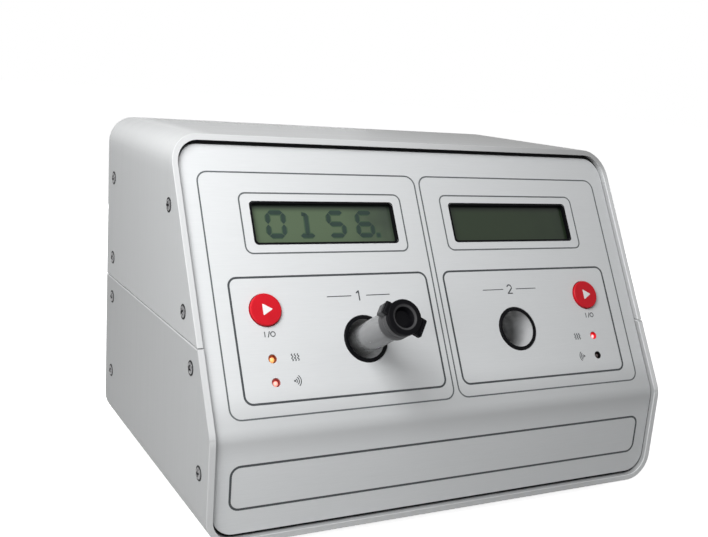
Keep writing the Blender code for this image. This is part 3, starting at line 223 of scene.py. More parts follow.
class Wire:
    # one socket of a node tree, so that shader maths reads as plain sums
    def __init__(self, tree, socket=None):
        self.tree, self.socket = tree, socket

    def node(self, kind, settings=None, values=None, out=0):
        made = self.tree.nodes.new(kind)
        for name, setting in (settings or {}).items():
            if name == "stops":
                ramp = made.color_ramp.elements
                ramp.remove(ramp[1])
                for i, (position, colour) in enumerate(setting):
                    stop = ramp[0] if i == 0 else ramp.new(position)
                    stop.position, stop.color = position, (*colour, 1)
            else:
                setattr(made, name, setting)
        for name, value in (values or {}).items():
            if isinstance(value, Wire):
                self.tree.links.new(value.socket, made.inputs[name])
            elif made.inputs[name].type == "RGBA":
                made.inputs[name].default_value = (*value, 1)
            else:
                made.inputs[name].default_value = value
        return Wire(self.tree, made.outputs[out]) if made.outputs else self

    def maths(self, operation, first, second):
        return self.node("ShaderNodeMath", {"operation": operation}, {0: first, 1: second})

    def __add__(self, other):
        return self.maths("ADD", self, other)

    def __radd__(self, other):
        return self.maths("ADD", other, self)

    def __sub__(self, other):
        return self.maths("SUBTRACT", self, other)

    def __rsub__(self, other):
        return self.maths("SUBTRACT", other, self)

    def __mul__(self, other):
        return self.maths("MULTIPLY", self, other)

    def __rmul__(self, other):
        return self.maths("MULTIPLY", other, self)


class Finish:
    # a principled material and the wire that its nodes are added through
    def __init__(self, name, colour, roughness, metallic=0.0, **fixed):
        self.material = bpy.data.materials.new(name)
        self.material.use_nodes = True
        self.material.diffuse_color = (*colour, 1)
        tree = self.material.node_tree
        self.wire = Wire(tree)
        self.shader = tree.nodes["Principled BSDF"]
        self.shader.inputs["Base Color"].default_value = (*colour, 1)
        self.shader.inputs["Roughness"].default_value = roughness
        self.shader.inputs["Metallic"].default_value = metallic
        for key, value in fixed.items():
            self.shader.inputs[key.replace("_", " ").title().replace("Ior", "IOR")].default_value = value
        self.place = self.wire.node("ShaderNodeTexCoord", out="Object")

    def feed(self, socket, wire):
        self.wire.tree.links.new(wire.socket, self.shader.inputs[socket])

    def noise(self, stretch, detail=2.0):
        # cells per metre along each axis
        spread = self.wire.node("ShaderNodeVectorMath", {"operation": "MULTIPLY"},
                                {0: self.place, 1: stretch})
        return self.wire.node("ShaderNodeTexNoise", None, {"Vector": spread, "Scale": 1.0, "Detail": detail})

    def along(self, origin, direction):
        # distance from a point along a direction, in millimetres
        offset = self.wire.node("ShaderNodeVectorMath", {"operation": "SUBTRACT"},
                                {0: self.place, 1: tuple(origin)})
        return self.wire.node("ShaderNodeVectorMath", {"operation": "DOT_PRODUCT"},
                              {0: offset, 1: tuple(direction)}, out="Value") * 1000

    def squareFrom(self, middle):
        # squared distance, in the panel's plane, from an axis that stands on it
        rise, aside = self.along(middle, upSlope), self.along(middle, rightward)
        return rise * rise + aside * aside

    def step(self, wire, low, high):
        return self.wire.node("ShaderNodeMapRange", {"interpolation_type": "SMOOTHSTEP"},
                              {"Value": wire, "From Min": low, "From Max": high})

    def band(self, wire, rise, fall):
        # comes up over the first pair of values and goes down over the second
        return self.step(wire, *rise) - self.step(wire, *fall)

    def mix(self, factor, first, second):
        return self.wire.node("ShaderNodeMix", {"data_type": "RGBA"}, {0: factor, 6: first, 7: second}, out=2)

    def bump(self, height, strength, distance=0.0001):
        self.feed("Normal", self.wire.node("ShaderNodeBump", None,
                                           {"Strength": strength, "Distance": distance, "Height": height}))


def shade(colour, factor):
    return tuple(min(1.0, part * factor) for part in colour)


def grained(made, look, grain):
    spread = look["variation"]
    return made.mix(grain + 0.5, shade(look["colour"], 1 - spread), shade(look["colour"], 1 + spread))


def bentPanel(made, look, grain):
    # painted shade, darker where the panel is bent
    bend = made.band(made.along(knee, skyward), *look["bend"])
    return made.mix(bend, grained(made, look, grain), shade(look["colour"], look["bendTone"]))


def foldedCase(made, look, grain):
    # brushed strongly on top and faintly on the sides
    height, aside = made.along(Vector(), skyward), made.along(Vector(), rightward)
    onTop = made.step(height, *look["top"])
    grain = grain * (onTop * (1 - look["sideGrain"]) + look["sideGrain"])
    top = made.mix(grain + 0.5, *(shade(look["colour"], tone) for tone in look["topTone"]))
    field = made.mix(onTop, grained(made, look, grain), top)

    # painted highlight on the upper rounded corners
    near, far = look["rubbedBeyond"]
    rubbed = made.step(height, *look["rubbedAbove"]) * made.step(aside * aside, near ** 2, far ** 2)
    field = made.mix(rubbed * look["rubbed"], field, look["rubbedColour"])

    # bare metal on the cut edges round the panel and along the seam, painted lighter as a highlight, most on
    # the lip at the right
    front = made.wire.maths("MAXIMUM", made.along(knee, outward), made.along(knee, -rearward))
    rightLipHighlight = made.step(aside, *look["leeBeyond"]) * (1 - made.step(height, *look["leeBelow"]))
    cut = made.mix(rightLipHighlight, look["cutColour"], shade(look["cutColour"], look["leeTone"]))
    field = made.mix(made.step(front, *look["cutEdge"]), field, cut)
    rim = made.band(made.along(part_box("lower_shell")[1], skyward), *look["seamRim"])
    field = made.mix(rim, field, look["cutColour"])

    # painted shade, darker towards the right end of the top
    tarnish = made.step(aside, *look["tarnishBeyond"]) * made.step(height, *look["tarnishAbove"])
    return made.mix(tarnish * look["tarnish"], field, look["tarnishColour"])


def brushed(name, look, paint=grained):
    # metal with fine brush marks in broader bands
    made = Finish(name, look["colour"], look["roughness"], look["metallic"],
                  specular_ior_level=look.get("shine", 0.5))
    fine, band = made.noise(look["fine"], 3), made.noise(look["band"], 2)
    grain = (band - 0.5) * look["bandContrast"] + (fine - 0.5) * look["fineContrast"]
    made.feed("Base Color", paint(made, look, grain))
    made.feed("Roughness", look["roughness"] + (fine - 0.5) * look["roughnessSpread"])
    made.bump(fine, look["bump"])
    return made.material


cloudLook = {"cells": 90, "tones": (0.8, 1.2), "roughness": 0.12, "grainRoughness": 0.2}
plasticLooks = {                            # colour, roughness, grains per metre, their depth, shine
    "blackRubber": ((0.012, 0.012, 0.013), 0.75, 2500, 0.25, 0.15),
    "blackPlastic": ((0.004, 0.004, 0.005), 0.42, 4000, 0.10, 0.05),
    "capPlastic": ((0.055, 0.056, 0.058), 0.40, 3000, 0.10, 0.35),
    "greyPlastic": ((0.30, 0.31, 0.32), 0.48, 4000, 0.10, 0.5),
    "whiteNylon": ((0.80, 0.80, 0.76), 0.42, 3000, 0.08, 0.5),
    "redButton": ((0.58, 0.008, 0.018), 0.42, 5000, 0.05, 0.2),
    "darkInk": ((0.040, 0.045, 0.050), 0.5, 4000, 0.02, 0.5),
    "greyInk": ((0.10, 0.11, 0.115), 0.5, 4000, 0.02, 0.5),
    "whiteInk": ((0.86, 0.84, 0.84), 0.5, 4000, 0.02, 0.5),
    "lcdSegments": ((0.026, 0.046, 0.038), 0.4, 900, 0.02, 0.2),
    "lcdSegmentShadow": ((0.042, 0.075, 0.046), 0.4, 900, 0.02, 0.2),
}


def moulded(name, look=None):
    # plastic, rubber or ink with a fine grain, a little uneven in colour and gloss
    colour, roughness, grains, depth, shine = look or plasticLooks[name]
    made = Finish(name, colour, roughness, specular_ior_level=shine)
    grain, cloud = made.noise((grains,) * 3, 3), made.noise((cloudLook["cells"],) * 3, 2)
    made.feed("Base Color", made.mix(cloud, *(shade(colour, tone) for tone in cloudLook["tones"])))
    made.feed("Roughness", roughness + (grain - 0.5) * cloudLook["grainRoughness"]
              + (cloud - 0.5) * cloudLook["roughness"])
    made.bump(grain, depth)
    return made.material


caseLook = {                                # heights over the floor and distances to the right in mm
    "colour": (0.46, 0.47, 0.475), "roughness": 0.46, "metallic": 0.06, "shine": 0.3,
    "fine": (60, 4200, 60), "band": (10, 1900, 10),
    "bandContrast": 1.6, "fineContrast": 1.4, "variation": 0.16, "roughnessSpread": 0.2, "bump": 0.05,
    "top": (146.0, 150.6), "topTone": (0.66, 0.98), "sideGrain": 0.25,
    # the upper rounded corners carry a painted highlight
    "rubbedAbove": (134.0, 145.0), "rubbedBeyond": (88.0, 101.0), "rubbed": 0.26,
    "rubbedColour": (0.92, 0.93, 0.935),
    # the cut edges and the seam's rim are bare metal with a painted highlight, stronger on the right lip
    "cutEdge": (1.3, 1.9), "seamRim": ((-0.7, -0.4), (0.1, 0.2)), "cutColour": (0.60, 0.61, 0.615),
    "leeBeyond": (60.0, 108.0), "leeBelow": (134.0, 146.0), "leeTone": 1.26,
    # painted shade towards the right end of the top
    "tarnishBeyond": (-20.0, 112.0), "tarnishAbove": (140.0, 148.0), "tarnish": 0.40,
    "tarnishColour": (0.12, 0.114, 0.108),
}
# painted shade: the lower shell takes a darker copy of the case's finish
lowerCaseShadeLook = dict(caseLook, colour=shade(caseLook["colour"], 0.85))
panelLook = {
    "colour": (0.68, 0.695, 0.705), "roughness": 0.46, "metallic": 0.04, "shine": 0.3,
    "fine": (120, 3600, 3600), "band": (9, 400, 400),
    "bandContrast": 0.3, "fineContrast": 1.0, "variation": 0.04, "roughnessSpread": 0.12, "bump": 0.03,
    # painted shade over the bend of the front panel
    "bend": ((-12.0, -1.0), (3.0, 16.0)), "bendTone": 0.82,
}
steelLook = {
    "colour": (0.56, 0.57, 0.58), "roughness": 0.34, "metallic": 1.0,
    "fine": (1400, 1400, 1400), "band": (120, 120, 120),
    "bandContrast": 0.8, "fineContrast": 0.5, "variation": 0.10, "roughnessSpread": 0.2, "bump": 0.05,
}
finishes = {
    "brushed_case": brushed("brushedCase", caseLook, foldedCase),
    "panel_silver": brushed("panelSilver", panelLook),
    "steel": brushed("zincSteel", steelLook),
    "screw_steel": brushed("screwSteel", dict(steelLook, colour=(0.24, 0.24, 0.245), roughness=0.28)),
    "bronze": brushed("sinteredBronze", dict(steelLook, colour=(0.55, 0.36, 0.16), roughness=0.42)),
    "magnet": brushed("nickelMagnet", dict(steelLook, colour=(0.42, 0.42, 0.41), roughness=0.25)),
    "black_rubber": moulded("blackRubber"), "black_plastic": moulded("blackPlastic"),
    "cap_plastic": moulded("capPlastic"), "grey_plastic": moulded("greyPlastic"),
    "white_nylon": moulded("whiteNylon"), "red_button": moulded("redButton"),
}


turnedLook = {
    "colour": (0.80, 0.81, 0.82), "metallic": 0.65, "roughness": 0.36, "roughnessSpread": 0.2, "bump": 0.15,
    "rings": 9, "ringColours": ((0.70, 0.71, 0.72), (0.95, 0.96, 0.97)),
}
# painted shade in the bores of the well rotors
wellLook = {                                # lengths in mm, from the well's middle or the panel's face
    "metallic": 0.35, "fallAcross": 0.35, "fallUp": -0.94, "clean": (-9.5, 0.5),
    "mouth": (-20.0, -4.0), "deepClean": 0.6, "speckle": 320, "speckleEdge": (0.4, 0.65),
    "stainColour": (1.0, 0.99, 0.975),
    # tones of the bores' painted shade
    "stain": {-1: (0.28, 0.58), 1: (0.14, 0.38)},       # darkest and lightest, in the left and the right well
}


def turnedMetal(name, hand=0):
    look = turnedLook
    made = Finish(name, look["colour"], look["roughness"], wellLook["metallic"] if hand else look["metallic"])
    depth = made.along(knee, outward)
    rings = made.wire.node("ShaderNodeTexNoise", {"noise_dimensions": "1D"},
                           {"W": depth * look["rings"], "Scale": 1.0})
    field = made.mix(rings, *look["ringColours"])
    if hand:
        field = shadedBore(made, hand, depth, field)
    made.feed("Base Color", field)
    made.feed("Roughness", look["roughness"] + (rings - 0.5) * look["roughnessSpread"])
    made.bump(rings, look["bump"])
    return made.material


def shadedBore(made, hand, depth, metal):
    # painted shade: the bore is darker above and deep in, and keeps its plain metal colour low in its mouth
    look = wellLook
    middle = slopePlace(hand * panelLayout["wellU"], panelLayout["wellV"]).translation
    fall = (made.along(middle, rightward) * look["fallAcross"]
            + made.along(middle, upSlope) * look["fallUp"])
    share = made.step(depth, *look["mouth"]) * (1 - look["deepClean"]) + look["deepClean"]
    speckle = made.step(made.noise((look["speckle"],) * 3, 3), *look["speckleEdge"])
    stain = made.mix(speckle, *(shade(look["stainColour"], tone) for tone in look["stain"][hand]))
    return made.mix(made.step(fall, *look["clean"]) * share, stain, metal)


boardLook = {
    "colour": (0.02, 0.20, 0.08), "roughness": 0.45, "cells": 260.0, "trackEdge": (0.03, 0.06),
    "track": (0.06, 0.34, 0.14), "mask": (0.012, 0.13, 0.05), "bump": 0.2,
}


def circuitBoard():
    look = boardLook
    made = Finish("circuitBoard", look["colour"], look["roughness"])
    tracks = made.wire.node("ShaderNodeTexVoronoi", {"feature": "DISTANCE_TO_EDGE", "distance": "CHEBYCHEV"},
                            {"Vector": made.place, "Scale": look["cells"]}, out="Distance")
    made.feed("Base Color", made.mix(made.step(tracks, *look["trackEdge"]), look["track"], look["mask"]))
    made.bump(tracks, look["bump"])
    return made.material


barrelLook = {
    "colour": (0.31, 0.315, 0.32), "roughness": 0.24, "transmission": 0.30, "coat": 0.6,
    "haze": 500, "hazeSpread": 0.16, "bump": 0.03, "clearAlpha": 0.20, "bodyAlpha": 0.90,
    "clearBelow": (0.5, 6.5),               # heights over the panel's face in mm
}


def tubePlastic():
    look = barrelLook
    made = Finish("clearTube", look["colour"], look["roughness"], transmission_weight=look["transmission"],
                  coat_weight=look["coat"])
    haze = made.noise((look["haze"],) * 3, 2)
    body = made.step(made.along(knee, outward), *look["clearBelow"])
    made.feed("Alpha", look["clearAlpha"] + body * (look["bodyAlpha"] - look["clearAlpha"]))
    made.feed("Roughness", look["roughness"] + (haze - 0.5) * look["hazeSpread"])
    made.bump(haze, look["bump"])
    return made.material


lidLook = {
    "colour": (0.003, 0.003, 0.004), "roughness": 0.34, "shine": 0.06, "grain": 4000, "bump": 0.08,
    "lipRise": (4.1, 4.35), "lipFall": (4.8, 5.3), "lipColour": (0.055, 0.055, 0.057),
}


def lidPlastic():
    # a painted highlight lightens the lip round the lid's recess
    look = lidLook
    made = Finish("lidPlastic", look["colour"], look["roughness"], specular_ior_level=look["shine"])
    square = made.squareFrom(slopePlace(-panelLayout["wellU"], panelLayout["wellV"]).translation)
    lipHighlight = made.band(square, *([radius ** 2 for radius in look[key]] for key in ("lipRise", "lipFall")))
    made.feed("Base Color", made.mix(lipHighlight, look["colour"], look["lipColour"]))
    made.bump(made.noise((look["grain"],) * 3), look["bump"])
    return made.material


glassLook = {
    "roughness": 0.30, "shine": 0.2, "coat": 0.12, "cloud": 60, "cloudSpread": 3, "fade": (0.0, 2.4),
    "topShadow": (4.8, 8.6), "bump": 0.02,
}


def lcdGlass(name, look):
    # one colour fades into the other across the window, under a painted shadow along its top
    made = Finish(name, look["field"], glassLook["roughness"], specular_ior_level=glassLook["shine"],
                  coat_weight=glassLook["coat"])
    cloud = made.noise((glassLook["cloud"],) * 3, 2)
    aside = (made.along(Vector(), rightward) + panelLayout["windowU"] * look["side"]) * look["lean"]
    far = made.step((cloud - 0.5) * glassLook["cloudSpread"] + aside, *glassLook["fade"])
    height = made.along(slopePlace(0, panelLayout["windowV"]).translation, upSlope)
    made.feed("Base Color", made.mix(made.step(height, *glassLook["topShadow"]),
                                     made.mix(far, look["field"], look["far"]), look["top"]))
    made.bump(cloud, glassLook["bump"])
    return made.material


finishes["turned_aluminium"] = turnedMetal("turnedAluminium")
finishes["circuit_board"] = circuitBoard()
finishes["tube_plastic"] = tubePlastic()
finishes["lid_plastic"] = lidPlastic()
ownFinishes = {
    # the rotors' bores carry painted shade
    "well_rotor_1": turnedMetal("wornWell1", -1),
    "well_rotor_2": turnedMetal("wornWell2", 1),
    "front_panel": brushed("bentPanelSilver", panelLook, bentPanel),
    # the lower shell's finish is darkened as painted shade
    "lower_shell": brushed("brushedCaseLower", lowerCaseShadeLook, foldedCase),
    # the top colours are the painted shadow along each window's top
    "lcd_glass_1": lcdGlass("lcdLit", {"field": (0.087, 0.126, 0.073), "far": (0.038, 0.053, 0.039),
                                       "top": (0.012, 0.018, 0.016), "lean": 0.05, "side": 1}),
    "lcd_glass_2": lcdGlass("lcdDark", {"field": (0.022, 0.036, 0.018), "far": (0.014, 0.024, 0.013),
                                        "top": (0.004, 0.006, 0.005), "lean": 0.04, "side": -1}),
}


lensLook = {                                # the drop in metres, the heart's squared radius in square mm
    "roughness": 0.18, "coat": 0.5, "heartDrop": 0.0004, "heartSquare": 0.05,
}


def lampLens(name, node, look):
    # brightest low in the middle, darker towards its rim
    made = Finish(name, look["rim"], lensLook["roughness"], emission_strength=look["strength"],
                  coat_weight=lensLook["coat"])
    low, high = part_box(node)
    square = made.squareFrom((low + high) / 2 - upSlope * lensLook["heartDrop"])
    glow = made.step(square, look["reach"] ** 2, lensLook["heartSquare"])
    made.feed("Base Color", made.mix(glow, look["rim"], look["heart"]))
    made.feed("Emission Color", made.mix(glow, shade(look["rim"], look["rimGlow"]), look["heart"]))
    return made.material


lampLooks = {
    "heater_lamp_1": {"rim": (0.50, 0.10, 0.04), "heart": (1.0, 0.48, 0.16), "rimGlow": 0.6,
                      "reach": 1.5, "strength": 0.9},
    "sensor_lamp_1": {"rim": (0.52, 0.07, 0.06), "heart": (1.0, 0.46, 0.38), "rimGlow": 0.6,
                      "reach": 1.5, "strength": 0.8},
    "heater_lamp_2": {"rim": (0.72, 0.02, 0.03), "heart": (1.0, 0.62, 0.64), "rimGlow": 1.0,
                      "reach": 1.2, "strength": 0.9},
    "sensor_lamp_2": {"rim": (0.02, 0.008, 0.008), "heart": (0.05, 0.02, 0.02), "rimGlow": 0.0,
                      "reach": 1.5, "strength": 0.0},
}
ink = {
    "dark": moulded("darkInk"), "grey": moulded("greyInk"), "white": moulded("whiteInk"),
    "lcd": moulded("lcdSegments"), "lcdBlur": moulded("lcdSegmentShadow"),
}
print("finishes mixed")


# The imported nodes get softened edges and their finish.

def softEdges():
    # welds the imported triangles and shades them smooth, except over sharp edges
    group = bpy.data.node_groups.new("softEdges", "GeometryNodeTree")
    for name, side in (("Geometry", "INPUT"), ("Geometry", "OUTPUT")):
        group.interface.new_socket(name, in_out=side, socket_type="NodeSocketGeometry")
    wire = Wire(group)
    shape = wire.node("NodeGroupInput")
    shape = wire.node("GeometryNodeMergeByDistance", None,
                      {"Geometry": shape, "Distance": meshLook["packedWeld"]})
    shape = wire.node("GeometryNodeRemoveAttribute", None, {"Geometry": shape, "Name": "custom_normal"})
    shape = wire.node("GeometryNodeSetShadeSmooth", {"domain": "FACE"},
                      {"Geometry": shape, "Shade Smooth": True})
    angle = wire.node("GeometryNodeInputMeshEdgeAngle", out="Unsigned Angle")
    sharp = wire.node("FunctionNodeCompare", {"data_type": "FLOAT", "operation": "GREATER_THAN"},
                      {0: angle, 1: math.radians(meshLook["sharp"])})
    shape = wire.node("GeometryNodeSetShadeSmooth", {"domain": "EDGE"},
                      {"Geometry": shape, "Selection": sharp, "Shade Smooth": False})
    wire.node("NodeGroupOutput", None, {"Geometry": shape})
    return group


edgeWidths = {                              # in millimetres
    "upper_shell": 0.6, "lower_shell": 0.6, "front_panel": 0.15, "rear_panel": 0.15,
    "start_button_1": 0.35, "start_button_2": 0.35, "power_inlet": 0.25, "switch_housing": 0.25,
    "power_rocker": 0.30, "fuse_drawer": 0.25, "serial_port": 0.15, "transformer": 0.4,
}
smoothing = softEdges()
for name, node in frame["nodes"].items():
    slot = node.material_slots[0]
    if name in lampLooks:
        slot.material = lampLens(name.replace("_", ""), name, lampLooks[name])
    else:
        slot.material = ownFinishes.get(name) or finishes[slot.material.name]
    node.modifiers.new("smooth", "NODES").node_group = smoothing
    if name in edgeWidths:
        bevel = node.modifiers.new("edges", "BEVEL")
        bevel.width = edgeWidths[name] * 0.001
        bevel.segments = meshLook["bevelSegments"]
        bevel.limit_method = "ANGLE"
        bevel.angle_limit = math.radians(meshLook["bevelAbove"])
        bevel.harden_normals = True
print("packed nodes finished")


# Printing on the front panel

printLook = {
    "proud": 0.05, "sink": 0.03, "windowTrim": 0.9, "windowCorner": 1.5, "lining": -1.6,
    "outer": {"left": 1.24, "right": 100.26, "low": 6.1, "high": 105.26, "corner": 4.4, "line": 0.62},
    "inner": {"left": 4.40, "right": 93.68, "low": 11.49, "high": 61.26, "corner": 3.4, "line": 0.85},
    "display": {"left": 10.27, "right": 84.22, "low": 71.03, "high": 96.46, "corner": 3.0, "line": 0.62},
    "strip": {"width": 201.16, "low": -28.99, "high": -11.72, "corner": 3.8, "line": 0.92},
}


def panelPrint():
    low, high = -printLook["sink"], printLook["proud"]
    thin, heavy = [], []
    for hand in (-1, 1):
        for key, drawn in (("outer", thin), ("display", thin), ("inner", heavy)):
            box = printLook[key]
            x, y = hand * (box["left"] + box["right"]) / 2, (box["low"] + box["high"]) / 2
            drawn.append(flat(border(x, y, box["right"] - box["left"], box["high"] - box["low"],
                                     box["corner"], box["line"]), low, high, slopeFrame))
    strip = printLook["strip"]
    heavy.append(flat(border(0, (strip["low"] + strip["high"]) / 2, strip["width"],
                             strip["high"] - strip["low"], strip["corner"], strip["line"]),
                      low, high, stripFrame))
    trims = []
    for hand in (-1, 1):
        line, width, height = printLook["windowTrim"], panelLayout["windowWidth"], panelLayout["windowHeight"]
        for size, deep in ((line / 2, low), (-line / 2, printLook["lining"])):
            trims.append(flat(border(hand * panelLayout["windowU"], panelLayout["windowV"], width + size,
                                     height + size, printLook["windowCorner"], line / 2),
                              deep, high, slopeFrame))
    piece("window_trims", trims, "analyzer", finishes["black_plastic"])
    piece("panel_frames_outer", thin, "analyzer", ink["grey"])
    piece("panel_frames_inner", heavy, "analyzer", ink["dark"])


symbolLook = {
    "titleV": 52.2, "numeralHeight": 3.9, "numeralWidth": 2.3, "numeralPen": 0.50,
    "ruleStart": 3.6, "ruleEnd": 14.4, "ruleWidth": 0.34,
    "powerV": 38.2, "powerGap": 1.7, "barHeight": 1.9, "ringRadius": 0.95, "pen": 0.36,
    "lampSymbolU": 70.6, "waveHeight": 2.7, "waveSwing": 0.34, "waveGap": 1.25,
    "arcRadii": (0.9, 1.75, 2.6), "arcSpread": 48, "arcOut": 1.6, "dotRadius": 0.42,
    "slash": (0.35, 1.05), "bowl": (160, -35),
}


def panelSymbols():
    look, low, high = symbolLook, -printLook["sink"], printLook["proud"]
    drawn = []

    def pen(points, width=look["pen"]):
        drawn.append(flat([stroke(points, width)], low, high, slopeFrame))

    w, h = look["numeralWidth"] / 2, look["numeralHeight"] / 2
    bowl = arc(0, h - w, w, *look["bowl"], 12)
    numerals = {-1: ([(-0.8 * w, 0.6 * h), (0.1 * w, h)], [(0.1 * w, h), (0.1 * w, -h)]),
                1: (bowl, [bowl[-1], (-w, -h)], [(-w, -h), (w, -h)])}
    for hand, strokes in numerals.items():
        u = hand * panelLayout["wellU"]
        for line in strokes:
            pen([(u + x, look["titleV"] + y) for x, y in line], look["numeralPen"])
        for side in (-1, 1):
            rule = [(u + side * look[end], look["titleV"]) for end in ("ruleStart", "ruleEnd")]
            pen(rule, look["ruleWidth"])

        u, v, gap = hand * panelLayout["buttonU"], look["powerV"], look["powerGap"]
        pen([(u - gap, v - look["barHeight"] / 2), (u - gap, v + look["barHeight"] / 2)])
        half = look["pen"] / 2
        drawn.append(flat([disc(look["ringRadius"] + half, u + gap, v),
                           disc(look["ringRadius"] - half, u + gap, v)], low, high, slopeFrame))
        across, up = look["slash"]
        pen([(u - across, v - up), (u + across, v + up)])

        u = hand * look["lampSymbolU"]
        for k in (-1, 0, 1):
            wave = []
            for i in range(13):
                rise = i / 12 - 0.5
                wave.append((u + k * look["waveGap"] + look["waveSwing"] * math.sin(4 * math.pi * rise),
                             panelLayout["heaterV"] + look["waveHeight"] * rise))
            pen(wave)
        start, v = u + hand * look["arcOut"], panelLayout["sensorV"]
        drawn.append(flat([disc(look["dotRadius"], start, v, 20)], low, high, slopeFrame))
        facing = 180 if hand > 0 else 0
        for radius in look["arcRadii"]:
            pen(arc(start, v, radius, facing - look["arcSpread"], facing + look["arcSpread"], 10))
    piece("panel_symbols", drawn, "analyzer", ink["dark"])


collarLook = {"outer": 1.76, "inner": 1.52, "low": -1.5, "high": -0.02, "plastic": (0.4, 4000, 0.02, 0.2)}
# painted light: the collars of the lit lamps carry their lamp's glow, and the unlit lamp's collar is painted
# dark as shade
collarGlowColours = {
    "heater_lamp_1": (0.30, 0.075, 0.035), "sensor_lamp_1": (0.36, 0.07, 0.06),
    "heater_lamp_2": (0.72, 0.035, 0.05), "sensor_lamp_2": (0.006, 0.006, 0.006),
}


def lampCollars():
    look = collarLook
    for name, colour in collarGlowColours.items():
        low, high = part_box(name)
        middle = (low + high) / 2
        onAxis = drawingFrame(middle + outward * (knee - middle).dot(outward), rightward, upSlope)
        wall = [(look["outer"], look["low"]), (look["outer"], look["high"]), (look["inner"], look["high"]),
                (look["inner"], look["low"])]
        finish = moulded(name + "_collar", (colour, *look["plastic"]))
        piece("collar_of_" + name, [turned(wall, onAxis, 32, closed=True)], "analyzer",
              finish)


startLook = {"side": 4.8, "corner": 0.5, "crown": 1.2, "sink": 0.03, "proud": 0.04}


def startSymbols():
    for hand, number in ((-1, 1), (1, 2)):
        place = slopePlace(hand * panelLayout["buttonU"], panelLayout["startV"], startLook["crown"])
        reach = startLook["side"] / math.sqrt(3)
        ring = softened(disc(reach, steps=3), startLook["corner"], closed=True)
        piece("start_symbol_%d" % number, [flat([ring], -startLook["sink"], startLook["proud"], place)],
              "start_button_%d" % number, ink["white"])


# Seven-segment digits on display 1

digitLook = {
    "height": 10.0, "width": 6.8, "pen": 1.6, "gap": 0.12, "pitch": 13.6, "first": -21.8, "lean": 0.04,
    "blur": 1.0, "layers": ((0.02, "lcdBlur"), (0.06, "lcd")), "thick": 0.02, "pointGap": 2.2,
    "flagOut": 0.6, "flagUp": 0.72,
    "glassBack": -4.2, "glassFront": -1.7, "glassInset": 0.9, "glassCorner": 0.8,
}
lit = {"0": "abcdef", "1": "vkd", "5": "afgcd", "6": "afgcde"}      # v is a middle stroke and k its flag


def digitRings(text, pen):
    look = digitLook
    half, w, h = pen / 2, look["width"] / 2, look["height"] / 2

    def bar(x0, y0, x1, y1):
        # a segment with pointed ends
        along = (Vector((x1, y1)) - Vector((x0, y0))).normalized()
        across = Vector((-along.y, along.x)) * half
        start, end = Vector((x0, y0)) + along * look["gap"], Vector((x1, y1)) - along * look["gap"]
        return [start, start + along * half + across, end - along * half + across, end,
                end - along * half - across, start + along * half - across]

    segments = {"a": (-w, h, w, h), "b": (w, 0, w, h), "c": (w, -h, w, 0), "d": (-w, -h, w, -h),
                "e": (-w, -h, -w, 0), "f": (-w, 0, -w, h), "g": (-w, 0, w, 0), "v": (0, -h, 0, h),
                "k": (-w * look["flagOut"], h * look["flagUp"], 0, h)}
    rings = []
    for i, character in enumerate(text):
        middle = look["first"] + i * look["pitch"]
        for key in lit[character]:
            rings.append([(middle + p.x + look["lean"] * p.y, p.y) for p in bar(*segments[key])])
    point = look["first"] + (len(text) - 1) * look["pitch"] + w + look["pointGap"]
    rings.append(rounded(point, -h, pen, pen, pen / 4))
    return rings


def displayGlass():
    look = digitLook
    width, height = (panelLayout[key] - look["glassInset"] for key in ("windowWidth", "windowHeight"))
    for number, hand in ((1, -1), (2, 1)):
        outline = rounded(hand * panelLayout["windowU"], panelLayout["windowV"], width, height,
                          look["glassCorner"])
        sheet = flat([outline], look["glassBack"], look["glassFront"], slopeFrame)
        name = "lcd_glass_%d" % number
        piece("display_glass_%d" % number, [sheet], "analyzer", ownFinishes[name], [name])


def displayDigits(text):
    # dark segments over their own wider, paler shadow on the glass
    look = digitLook
    place = slopePlace(-panelLayout["windowU"], panelLayout["windowV"], look["glassFront"])
    for layer, (proud, finish) in enumerate(look["layers"]):
        pen = look["pen"] + (look["blur"] if layer == 0 else 0)
        drawn = [flat([ring], proud - look["thick"], proud, place) for ring in digitRings(text, pen)]
        piece("display_digits_%d" % (layer + 1), drawn, "analyzer", ink[finish])


panelPrint()
panelSymbols()
lampCollars()
startSymbols()
displayGlass()
displayDigits("0156")
print("panel printed")


# Cover screws

screwLook = {
    "heights": (26.6, 63.6, 82.7, 120.3), "setback": 8.5, "rear": 139.5, "kneeHeight": 42.7,
    # the black rings under the heads and the black crosses in their recesses are painted shade
    "washer": 3.0, "washerTop": 0.12, "radius": 2.3, "crown": 0.7, "holeSink": 1.2,
    "slotWidth": 0.9, "slotLength": 3.1, "slotDepth": 0.55, "slotCorner": 0.2,
    "recess": 0.22, "recessInset": 0.1, "recessCorner": 0.15, "bed": 0.13, "washerLow": -0.1,
    "crownSteps": (0.35, 0.6, 0.8, 0.93, 0.985), "crownEdge": 0.1, "crownRound": 0.85,
    "neck": 0.66, "shank": 1.5,
    "turns": (12, 55, -20, 78, 33, -48, 5, 64),     # of each cross, in degrees
}


